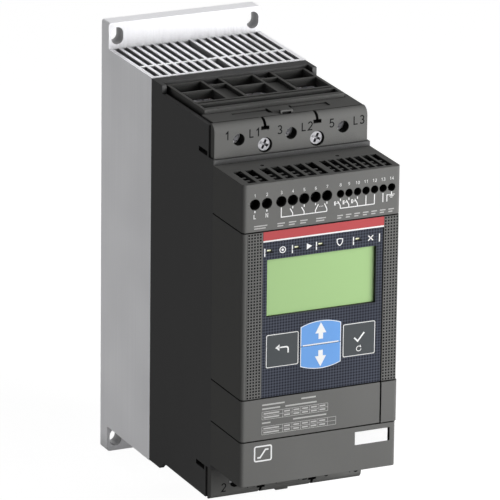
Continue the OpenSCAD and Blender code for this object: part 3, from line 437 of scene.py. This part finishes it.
def arc_points(x0, x1, z_side, bulge, steps=17):
    """Bowed line from x0 to x1 that rises by the bulge in the middle."""
    half = (x1 - x0) / 2
    r = (half * half + bulge * bulge) / (2 * abs(bulge))
    sign = 1 if bulge > 0 else -1
    middle = (x0 + x1) / 2
    points = []
    for i in range(steps):
        x = x0 + (x1 - x0) * i / (steps - 1)
        points.append((x, z_side + bulge - sign * (r - sqrt(r * r - (x - middle) ** 2))))
    return points


def stroke(points, width, closed=False):
    """Quads along a line of points, mitred at the corners."""
    # Shortest step that has a direction, and the least cosine that a mitre is drawn for
    shortest, least_cosine = 1e-9, 0.4
    corners = [Vector(point) for point in points]
    count = len(corners)
    sides = []
    for i, here in enumerate(corners):
        before = corners[i - 1] if i or closed else None
        after = corners[(i + 1) % count] if i < count - 1 or closed else None
        normals = []
        for a, b in ((before, here), (here, after)):
            if a is not None and b is not None and (b - a).length > shortest:
                along = (b - a).normalized()
                normals.append(Vector((-along.y, along.x)))
        normal = sum(normals, Vector((0, 0))).normalized()
        reach = width / 2 / max(least_cosine, normal.dot(normals[0]))
        sides.append((here + normal * reach, here - normal * reach))
    pairs = list(zip(sides, sides[1:] + sides[:1]))
    if not closed:
        pairs.pop()
    return [[tuple(a[1]), tuple(b[1]), tuple(b[0]), tuple(a[0])] for a, b in pairs]


# Plain characters as lines in a box 0.6 wide and 1 high
GLYPH_W = 0.6
ADVANCE = 0.84
SIX = [bow(0.3, 0.3, 0.26, 0.3, 0, 360, 15), [(0.04, 0.32), (0.1, 0.66), (0.28, 0.9), (0.5, 0.98)]]
GLYPHS = {
    "0": [bow(0.3, 0.5, 0.26, 0.5, 0, 360, 17)],
    "1": [[(0.1, 0.76), (0.36, 1), (0.36, 0)]],
    "2": [bow(0.3, 0.72, 0.26, 0.28, 165, -205) + [(0.04, 0), (0.58, 0)]],
    "3": [bow(0.28, 0.75, 0.24, 0.25, 150, -240), bow(0.28, 0.25, 0.28, 0.25, 90, -240)],
    "4": [[(0.44, 0), (0.44, 1), (0.02, 0.3), (0.6, 0.3)]],
    "5": [[(0.54, 1), (0.12, 1), (0.08, 0.56)] + bow(0.28, 0.32, 0.28, 0.31, 115, -265)],
    "6": SIX,
    "7": [[(0.02, 1), (0.58, 1), (0.22, 0)]],
    "8": [bow(0.3, 0.75, 0.22, 0.25, 0, 360, 13), bow(0.3, 0.25, 0.27, 0.25, 0, 360, 13)],
    "9": [[(GLYPH_W - u, 1 - v) for u, v in line] for line in SIX],
    "L": [[(0.06, 1), (0.06, 0), (0.54, 0)]],
    "N": [[(0.05, 0), (0.05, 1), (0.55, 0), (0.55, 1)]],
    "T": [[(0, 1), (0.6, 1)], [(0.3, 1), (0.3, 0)]],
}


# Pieces

class FrontPrint:
    """Thin shapes on a face that looks towards -Y, gathered into one piece."""

    def __init__(self, name, material, slot, y=FRONT_Y, body=UNIT, thick=INK):
        self.name = name
        self.material = material
        self.slot = slot
        self.y = y
        self.body = body
        self.thick = thick
        self.mesh = bmesh.new()

    def add(self, *shapes):
        front = (self.y - LIFT - self.thick) * MM
        back = (self.y - LIFT) * MM
        for shape in shapes:
            ahead = [self.mesh.verts.new((x * MM, front, z * MM)) for x, z in shape]
            behind = [self.mesh.verts.new((x * MM, back, z * MM)) for x, z in shape]
            self.mesh.faces.new(ahead)
            self.mesh.faces.new(behind[::-1])
            for i in range(len(shape)):
                j = (i + 1) % len(shape)
                self.mesh.faces.new((ahead[j], ahead[i], behind[i], behind[j]))

    def line(self, points, width, closed=False):
        self.add(*stroke(points, width, closed))

    def letters(self, text, x, z, height, weight=0.14):
        """Characters centred on (x, z), height in millimetres from foot to top."""
        left = x - height * (ADVANCE * (len(text) - 1) + GLYPH_W) / 2
        for i, character in enumerate(text):
            for line in GLYPHS[character]:
                points = [(left + height * (ADVANCE * i + u), z + height * (v - 0.5)) for u, v in line]
                self.line(points, weight * height)

    def finish(self):
        bmesh.ops.recalc_face_normals(self.mesh, faces=self.mesh.faces[:])
        add_piece(self.name, self.mesh, self.material, self.body)


def add_piece(name, mesh, material, body=UNIT):
    data = bpy.data.meshes.new(name)
    mesh.to_mesh(data)
    mesh.free()
    data.materials.append(material)
    piece = bpy.data.objects.new(name, data)
    bpy.context.scene.collection.objects.link(piece)
    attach(piece, body)


# Marks beside the power terminals

def terminal_marks():
    height, rise = 4.3, 2.7
    number_off, phase_off = -6.6, 9.1
    for end, sign, numbers, letter in (("line", 1, "135", "L"), ("load", -1, "246", "T")):
        marks = FrontPrint(end + "_terminal_marks", DARK_INK_AND_SHADE, "black_plastic", y=SHROUD_Y)
        z = sign * (CLAMP_Z + rise)
        for i, number in enumerate(numbers):
            x = (i - 1) * PHASE_PITCH
            marks.letters(number, x + number_off, z, height)
            marks.letters(letter + str(i + 1), x + phase_off, z, height)
        marks.finish()


# Numbers and wiring diagrams on the control cover

# Control terminals by what is drawn at them, from the left
SUPPLY_XS = TERMINAL_XS[:2]
COMMON_X = TERMINAL_XS[2]
RELAY_XS = TERMINAL_XS[3:5]
PAIR_XS = TERMINAL_XS[5:7]
PAIR_X = sum(PAIR_XS) / 2
PUSH_XS = TERMINAL_XS[7:10]
BRIDGE_XS = TERMINAL_XS[10:12]
LOOSE_X, EARTH_X = TERMINAL_XS[12:]

WIRE = 0.5
# Upper ends of the leads of the large and the small terminals, and the lines that join them
LARGE_TOP = TERMINAL_Z - 3.2
SMALL_TOP = TERMINAL_Z - 2.6
RELAY_BAR = TERMINAL_Z - 8.5
INPUT_BAR = RELAY_BAR + 0.6
# Lower end of the leads that join no line, and the length of a short lead
LOOSE_END = RELAY_BAR + 1.0
STUB = 1.2


def terminal_numbers():
    """Numbers over the terminals, and the letters of the supply under theirs."""
    number_z, number_h, number_weight = TERMINAL_Z + 4.9, 1.6, 0.12
    supply_z, supply_h, supply_weight = TERMINAL_Z - 6.4, 2.2, 0.17
    numbers = FrontPrint("terminal_numbers", WHITE_INK, "label")
    for i, x in enumerate(TERMINAL_XS):
        numbers.letters(str(i + 1), x, number_z, number_h, number_weight)
    for x, letter in zip(SUPPLY_XS, "LN"):
        numbers.letters(letter, x, supply_z, supply_h, supply_weight)
    numbers.finish()


def draw_contact(wiring, x, top, bar):
    """Normally open contact between a terminal and its common line."""
    upper_lead, lower_lead = 1.3, 1.5
    blade_reach, blade_rise = 1.5, 0.1
    gap_top, gap_foot = top - upper_lead, bar + lower_lead
    wiring.line([(x, top), (x, gap_top)], WIRE)
    wiring.line([(x, bar), (x, gap_foot)], WIRE)
    wiring.line([(x, gap_foot), (x - blade_reach, gap_top + blade_rise)], WIRE)


def draw_push_contact(wiring, x, top, bar):
    """Contact with the bracket of a push button beside it."""
    near, far, half, rise = x - 2.5, x - 3.3, 0.8, 0.4
    rod_end, rod_wire = x - 0.9, WIRE * 0.8
    z = (top + bar) / 2 + rise
    draw_contact(wiring, x, top, bar)
    wiring.line([(near, z + half), (far, z + half), (far, z - half), (near, z - half)], WIRE)
    wiring.line([(far, z), (rod_end, z)], rod_wire)


def draw_relays(wiring):
    """Supply leads, two relay contacts and a coupled pair on one common line."""
    supply_wire = WIRE * 1.3
    pivot, tip, blade_reaches = RELAY_BAR + 1.4, LARGE_TOP - 0.9, (1.6, -1.4)
    dash_step, dash_half = 0.9, 0.25
    dash_foot, dash_top = LARGE_TOP - 2.3, LARGE_TOP - 2.0
    for x in SUPPLY_XS:
        wiring.line([(x, LARGE_TOP), (x, LARGE_TOP - STUB)], supply_wire)
    wiring.line([(COMMON_X, LARGE_TOP), (COMMON_X, RELAY_BAR), (PAIR_XS[1], RELAY_BAR)], WIRE)
    for x in RELAY_XS:
        draw_contact(wiring, x, LARGE_TOP, RELAY_BAR)
    for x, blade_reach in zip(PAIR_XS, blade_reaches):
        wiring.line([(x, RELAY_BAR), (x, pivot), (x + blade_reach, tip)], WIRE)
    for x in PAIR_XS:
        wiring.line([(x, LARGE_TOP), (x, LARGE_TOP - STUB)], WIRE)
    for k in (-1, 0, 1):
        x = PAIR_X + k * dash_step
        wiring.add(rectangle(x - dash_half, dash_foot, x + dash_half, dash_top))


def draw_inputs(wiring):
    """Three push buttons and two bridges on one line, and a loose lead."""
    wiring.line([(PUSH_XS[0], INPUT_BAR), (BRIDGE_XS[1], INPUT_BAR)], WIRE)
    for x in PUSH_XS:
        draw_push_contact(wiring, x, SMALL_TOP, INPUT_BAR)
    for x in BRIDGE_XS:
        wiring.line([(x, SMALL_TOP), (x, INPUT_BAR)], WIRE)
    wiring.line([(LOOSE_X, SMALL_TOP), (LOOSE_X, LOOSE_END)], WIRE)


def draw_earth(wiring):
    """Earth sign of three bars that get shorter, and a lead beside it."""
    lead_top, sign_z, side_x = SMALL_TOP + 0.4, SMALL_TOP - 1.3, EARTH_X - 2.6
    half_bars, bar_step, bar_half = (1.9, 1.25, 0.6), 0.75, 0.18
    wiring.line([(EARTH_X, lead_top), (EARTH_X, sign_z)], WIRE)
    for k, half in enumerate(half_bars):
        z = sign_z - bar_step * k
        wiring.add(rectangle(EARTH_X - half, z - bar_half, EARTH_X + half, z + bar_half))
    wiring.line([(side_x, LOOSE_END), (side_x, sign_z), (EARTH_X - half_bars[0], sign_z)], WIRE)


def wiring_diagrams():
    wiring = FrontPrint("wiring_diagrams", WHITE_INK, "label")
    draw_relays(wiring)
    draw_inputs(wiring)
    draw_earth(wiring)
    wiring.finish()


def terminal_legend():
    """Two short grey dashes under each terminal or pair of terminals."""
    supply_w, relay_w, pair_w, input_w = 7.5, 4.2, 5.6, 3.2
    first_z, step, half, shorter = TERMINAL_Z - 11.8, 1.3, 0.3, 0.9
    places = [(sum(SUPPLY_XS) / 2, supply_w)]
    places += [(x, relay_w) for x in [COMMON_X] + RELAY_XS]
    places += [(PAIR_X, pair_w)]
    places += [(x, input_w) for x in PUSH_XS + BRIDGE_XS + [LOOSE_X, EARTH_X]]
    legend = FrontPrint("terminal_legend", PALE_INK, "label")
    for x, width in places:
        for k in (0, 1):
            z = first_z - step * k
            legend.add(rectangle(x - width / 2, z - half, x + width / 2 - shorter * k, z + half))
    legend.finish()


# Operator panel

# Lower edge of the red band, and thickness of the white line under it
BAND_Z = LIGHT_Z + 5.7
BAND_LINE = 0.8
# Ticks between the lights, and middles of the signs beside them
TICK_XS = (-32.5, -16.75, -3.0, 18.25, 33.25)
READY_X, RUN_X, PROTECT_X, STOP_X = -22.3, -7.25, 10.4, 28.15


def red_band():
    band = FrontPrint("red_band", RED_INK, "overlay")
    band.add(rectangle(OVERLAY_LO.x, BAND_Z, OVERLAY_HI.x, OVERLAY_HI.z))
    band.finish()


def panel_lines():
    """White line under the band, and the ticks between the lights."""
    half, below, above = 0.32, 2.9, 1.5
    lines = FrontPrint("panel_lines", WHITE_INK, "label")
    lines.add(rectangle(OVERLAY_LO.x, BAND_Z - BAND_LINE, OVERLAY_HI.x, BAND_Z))
    for x in TICK_XS:
        lines.add(rectangle(x - half, LIGHT_Z - below, x + half, LIGHT_Z + above))
    lines.finish()


def panel_shades():
    """Painted shade: a dark strip at the right end of the overlay, and a dark foot under each light."""
    strip = 0.75
    foot_left, foot_right, foot_h = 1.3, 1.0, 0.6
    foot_top = LIGHT_LO.z - 0.05
    shades = FrontPrint("panel_shades", DARK_INK_AND_SHADE, "black_plastic")
    shades.add(rectangle(OVERLAY_HI.x - strip, OVERLAY_LO.z, OVERLAY_HI.x, BAND_Z - BAND_LINE))
    for x in spread_mm("light_pipes"):
        shades.add(rectangle(x - foot_left, foot_top - foot_h, x + foot_right, foot_top))
    shades.finish()


def indicator_signs():
    """Generic signs beside the lights: ready, running, protection and stopped."""
    z = LIGHT_Z - 0.3
    line, cross_line = 0.5, 0.6
    ring_r, dot_r, arm = 1.6, 0.7, 1.4
    triangle = [(-1.3, -1.7), (1.8, 0), (-1.3, 1.7)]
    half_shield = [(0, 1.9), (1.6, 1.6), (1.5, -0.1), (0.9, -1.2), (0, -1.9)]
    shield = half_shield + [(-u, v) for u, v in half_shield[-2:0:-1]]
    signs = FrontPrint("indicator_signs", WHITE_INK, "label")
    signs.line(ring_points(READY_X, z, ring_r), line, closed=True)
    signs.add(ring_points(READY_X, z, dot_r, count=16))
    signs.add(moved(triangle, RUN_X, z))
    signs.line(moved(shield, PROTECT_X, z), line, closed=True)
    for slope in (-1, 1):
        signs.line([(STOP_X - arm, z - arm * slope), (STOP_X + arm, z + arm * slope)], cross_line)
    signs.finish()


# Keys

# Width of the line along the rim of a key
KEY_LINE = 0.38


def cap_range(node):
    """Box of the face of a key, without the lugs behind the panel."""
    depth = 0.1
    points = [vertex.co / MM for vertex in frame["nodes"][node].data.vertices]
    face = [point for point in points if point.y < FRONT_Y + depth]
    return (Vector([min(point[k] for point in face) for k in range(3)]),
            Vector([max(point[k] for point in face) for k in range(3)]))


def return_sign():
    """Arrow that goes back to the left, about the middle of the key."""
    line = 0.8
    bend = bow(2.2, 0.2, 1.2, 1.2, 0, 90, 7)
    shaft = [(3.4, -2.0)] + bend + [(-2.2, 1.4)]
    head = [(-4.0, 1.4), (-1.6, -0.4), (-1.6, 3.2)]
    return stroke(shaft, line) + [head]


def accept_sign():
    """Tick, and below it a small ring arrow, about the middle of the key."""
    tick_line, ring_line = 0.85, 0.42
    tick = [(-2.8, 1.0), (-0.7, -1.1), (3.0, 3.4)]
    ring = bow(0, -5.3, 1.35, 1.35, 60, 290, 18)
    head = [(1.5, -4.9), (0.2, -4.2), (0.9, -3.2)]
    return stroke(tick, tick_line) + stroke(ring, ring_line) + [head]


def side_key_prints():
    """Rim and sign of the two outer keys."""
    inset, corner = 0.3, 0.8
    for key, sign in (("exit", return_sign()), ("select", accept_sign())):
        lo, hi = cap_range(key + "_key")
        middle = (lo + hi) / 2
        rim = soft_corners(lo.x + inset, lo.z + inset, hi.x - inset, hi.z - inset, corner)
        mark = FrontPrint(key + "_key_print", WHITE_INK, "label", body=key + "_button")
        mark.line(rim, KEY_LINE, closed=True)
        mark.add(*(moved(shape, middle.x, middle.z) for shape in sign))
        mark.finish()


def arrow_key_prints():
    """Rim and arrow of the two middle keys, and the line between them."""
    inset, bulge = 0.25, 2.3
    divider_inset, divider_h = 1.2, 0.65
    tip_off, base_off, foot_off = 12.2, 6.3, 3.1
    half_head, half_shaft = 3.2, 1.3
    up_lo, up_hi = cap_range("up_key")
    down_lo, down_hi = cap_range("down_key")
    split = (up_lo.z + down_hi.z) / 2
    middle = (up_lo.x + up_hi.x) / 2
    x0, x1 = up_lo.x + inset, up_hi.x - inset
    for key, sign, near, far in (("up", 1, up_lo.z, up_hi.z), ("down", -1, down_hi.z, down_lo.z)):
        side = far - sign * (bulge + inset)
        mark = FrontPrint(key + "_key_print", WHITE_INK, "label", body=key + "_button")
        mark.line([(x0, near)] + arc_points(x0, x1, side, sign * bulge) + [(x1, near)], KEY_LINE)
        if key == "up":
            mark.add(rectangle(x0 + divider_inset, near, x1 - divider_inset, near + divider_h))
        tip, base, foot = (split + sign * off for off in (tip_off, base_off, foot_off))
        mark.add([(middle - half_head, base), (middle + half_head, base), (middle, tip)])
        mark.add(rectangle(middle - half_shaft, min(foot, base), middle + half_shaft, max(foot, base)))
        mark.finish()


# Fields of small square pits beside the panel

# Edge of a cell towards each neighbour, from corner to corner, all as steps of column and row
CELL_EDGES = {(-1, 0): ((0, 1), (0, 0)), (1, 0): ((1, 0), (1, 1)),
              (0, -1): ((0, 0), (1, 0)), (0, 1): ((1, 1), (0, 1))}


def hole_cuts(places, hole):
    """Edges of the holes at the given places, between the two ends of the plate."""
    margin = 0.38
    cuts = [places[0] - hole / 2 - margin]
    for place in places:
        cuts += [place - hole / 2, place + hole / 2]
    return cuts + [places[-1] + hole / 2 + margin]


def pierced_plate(xs, zs, hole, skin):
    """Plate with a square hole at each crossing of the given columns and rows, open at its back."""
    cut_x, cut_z = hole_cuts(xs, hole), hole_cuts(zs, hole)
    columns, rows = len(cut_x) - 1, len(cut_z) - 1
    mesh = bmesh.new()

    def layer(y):
        return {(i, k): mesh.verts.new((x * MM, y * MM, z * MM))
                for i, x in enumerate(cut_x) for k, z in enumerate(cut_z)}

    def solid(i, k):
        return 0 <= i < columns and 0 <= k < rows and not (i % 2 and k % 2)

    front, back = layer(FRONT_Y - skin), layer(FRONT_Y)
    for i in range(columns):
        for k in range(rows):
            if not solid(i, k):
                continue
            mesh.faces.new((front[i, k], front[i + 1, k], front[i + 1, k + 1], front[i, k + 1]))
            for (across, up), ((a_x, a_z), (b_x, b_z)) in CELL_EDGES.items():
                if not solid(i + across, k + up):
                    a, b = (i + a_x, k + a_z), (i + b_x, k + b_z)
                    mesh.faces.new((front[b], front[a], back[a], back[b]))
    return mesh


def side_grilles():
    """A thin pierced skin at each side of the panel, over a dark sheet of painted shade that makes its
    pits look deep.
    """
    pitch, hole, columns, rows = 1.65, 0.93, 5, 55
    skin, pit_shade_thick, pit_shade_margin = 0.12, 0.01, 0.1
    left_gap, right_gap, top_gap = 1.5, 0.9, 0.9
    left_x = OVERLAY_LO.x - left_gap - pitch * (columns - 1)
    right_x = OVERLAY_HI.x + right_gap
    first_z = box_mm("display_housing")[1].z - top_gap
    zs = [first_z - pitch * i for i in range(rows)][::-1]
    reach = hole / 2 + pit_shade_margin
    for first_x, name in ((left_x, "left_grille"), (right_x, "right_grille")):
        xs = [first_x + pitch * i for i in range(columns)]
        # Dark sheet behind the holes: painted shade for the depth of the pits
        ground = FrontPrint(name + "_pit_shade", DARK_INK_AND_SHADE, "black_plastic", thick=pit_shade_thick)
        ground.add(rectangle(xs[0] - reach, zs[0] - reach, xs[-1] + reach, zs[-1] + reach))
        ground.finish()
        add_piece(name, pierced_plate(xs, zs, hole, skin), LOOKS["grey_plastic"])


# Lower covers

def rating_table():
    """Two plain ruled tables with a grey dash in each cell, and a few longer dashes over them."""
    left, right, far_right = -32.9, 5.0, 9.75
    columns = [left, -21.0, -15.6, -10.6, -5.6, -0.6]
    # Heights are measured from the top of the cover
    upper_rules, lower_rules = (-7.2, -9.4, -11.5), (-15.4, -17.6, -19.8)
    cell_rows = (-8.3, -10.4, -16.5, -18.7)
    name_inset, name_right = 0.9, -23.0
    cell_left, cell_right = 0.8, 4.2
    half_rule, half_dash = 0.11, 0.4
    top = box_mm("rating_cover")[1].z
    table = FrontPrint("rating_table", PALE_INK, "label")
    for rules, ends in ((upper_rules, [right]), (lower_rules, [right, far_right])):
        for z in rules:
            table.add(rectangle(left, top + z - half_rule, ends[-1], top + z + half_rule))
        for x in columns + ends:
            table.add(rectangle(x - half_rule, top + rules[-1], x + half_rule, top + rules[0]))
    # Each dash has a left end, a right end and a height
    dashes = [(left, -20.0, -3.4), (-10.4, -2.0, -2.7), (left, -22.5, -5.6), (-19.5, -1.5, -5.6),
              (left, -28.0, -13.4), (-15.0, 4.2, -13.4)]
    for z in cell_rows:
        dashes.append((left + name_inset, name_right, z))
        dashes += [(x + cell_left, x + cell_right, z) for x in columns[1:]]
    for x0, x1, z in dashes:
        table.add(rectangle(x0, top + z - half_dash, x1, top + z + half_dash))
    table.finish()


def ramp_sign():
    """Generic sign of a soft start: a rising ramp in a frame."""
    top = box_mm("bottom_cover")[1].z
    x0, x1, z0, z1 = -36.9, -27.3, top - 10.9, top - 2.8
    corner, rim_line, ramp_line = 0.9, 0.8, 0.9
    low, high = z0 + 1.9, z1 - 2.0
    ramp = [(x0 + 1.6, low), (x0 + 3.2, low), (x1 - 3.4, high), (x1 - 1.6, high)]
    sign = FrontPrint("ramp_sign", WHITE_INK, "label")
    sign.line(soft_corners(x0, z0, x1, z1, corner), rim_line, closed=True)
    sign.line(ramp, ramp_line)
    sign.finish()


# Studio, in metres

WHITE_LIGHT = (1, 1, 1, 1)


def set_camera():
    """Camera solved from the photograph, for a square picture."""
    azimuth, elevation, roll = radians(24.78), radians(18.43), radians(0.68)
    distance = 3.160
    target = Vector((2.938, -90.0, 12.844)) * MM
    ahead = Vector((sin(azimuth) * cos(elevation), cos(azimuth) * cos(elevation), -sin(elevation)))
    level = Vector((cos(azimuth), -sin(azimuth), 0))
    above = level.cross(ahead)
    right = level * cos(roll) + above * sin(roll)
    up = above * cos(roll) - level * sin(roll)
    data = bpy.data.cameras.new("camera")
    data.sensor_width = 36
    data.lens = 425.8
    camera = bpy.data.objects.new("camera", data)
    turn = Matrix((right, up, -ahead)).transposed().to_4x4()
    camera.matrix_world = Matrix.Translation(target - ahead * distance) @ turn
    bpy.context.scene.collection.objects.link(camera)
    bpy.context.scene.camera = camera


def add_lamp(name, place, size, power, target):
    data = bpy.data.lights.new(name, "AREA")
    data.shape = "SQUARE"
    data.size = size
    data.energy = power
    lamp = bpy.data.objects.new(name, data)
    lamp.location = place
    lamp.rotation_euler = (Vector(target) - Vector(place)).to_track_quat("-Z", "Y").to_euler()
    bpy.context.scene.collection.objects.link(lamp)


def background_rays(nodes, links):
    """1 for rays that show the background: seen directly, mirrored or through glass."""
    path = nodes.new("ShaderNodeLightPath")
    total = path.outputs["Is Camera Ray"]
    for name in ("Is Glossy Ray", "Is Transmission Ray"):
        node = nodes.new("ShaderNodeMath")
        node.operation = "MAXIMUM"
        links.new(total, node.inputs[0])
        links.new(path.outputs[name], node.inputs[1])
        total = node.outputs["Value"]
    return total


def set_world():
    """Faint even light, and a white background."""
    world = bpy.data.worlds.new("studio")
    bpy.context.scene.world = world
    world.use_nodes = True
    nodes, links = world.node_tree.nodes, world.node_tree.links
    light = nodes["Background"]
    light.inputs["Color"].default_value = WHITE_LIGHT
    light.inputs["Strength"].default_value = 0.11
    white = nodes.new("ShaderNodeBackground")
    white.inputs["Color"].default_value = WHITE_LIGHT
    white.inputs["Strength"].default_value = 1.0
    mix = nodes.new("ShaderNodeMixShader")
    links.new(background_rays(nodes, links), mix.inputs["Fac"])
    links.new(light.outputs["Background"], mix.inputs[1])
    links.new(white.outputs["Background"], mix.inputs[2])
    links.new(mix.outputs["Shader"], nodes["World Output"].inputs["Surface"])


def floor_material():
    """Matt floor that takes shadows and looks almost white."""
    material = bpy.data.materials.new("floor")
    material.use_nodes = True
    nodes, links = material.node_tree.nodes, material.node_tree.links
    nodes.remove(nodes["Principled BSDF"])
    matt = nodes.new("ShaderNodeBsdfDiffuse")
    matt.inputs["Color"].default_value = (0.26, 0.26, 0.26, 1)
    glow = nodes.new("ShaderNodeEmission")
    glow.inputs["Color"].default_value = WHITE_LIGHT
    strength = nodes.new("ShaderNodeMath")
    strength.operation = "MULTIPLY"
    strength.inputs[1].default_value = 0.95
    links.new(background_rays(nodes, links), strength.inputs[0])
    links.new(strength.outputs["Value"], glow.inputs["Strength"])
    both = nodes.new("ShaderNodeAddShader")
    links.new(matt.outputs["BSDF"], both.inputs[0])
    links.new(glow.outputs["Emission"], both.inputs[1])
    links.new(both.outputs["Shader"], nodes["Material Output"].inputs["Surface"])
    return material


def add_floor():
    half, gap = 6.0, 0.1 * MM
    z = cad_box[0].z - gap
    mesh = bmesh.new()
    mesh.faces.new([mesh.verts.new((x, y, z)) for x, y in rectangle(-half, -half, half, half)])
    data = bpy.data.meshes.new("floor")
    mesh.to_mesh(data)
    mesh.free()
    data.materials.append(floor_material())
    floor = bpy.data.objects.new("floor", data)
    bpy.context.scene.collection.objects.link(floor)


def build_studio():
    middle, front = (0, -0.09, 0), (0, -0.15, 0)
    set_camera()
    set_world()
    add_floor()
    add_lamp("key", place=(0.9, -2.1, 0.5), size=1.3, power=24.5, target=middle)
    add_lamp("side", place=(0.38, -0.47, 0.17), size=0.3, power=2.1, target=front)
    add_lamp("fill", place=(-1.6, -0.5, 0.2), size=1.2, power=2.6, target=middle)
    bpy.context.scene.view_settings.view_transform = "Standard"


dress_nodes()
terminal_marks()
terminal_numbers()
wiring_diagrams()
terminal_legend()
red_band()
panel_lines()
panel_shades()
indicator_signs()
side_key_prints()
arrow_key_prints()
side_grilles()
rating_table()
ramp_sign()
build_studio()
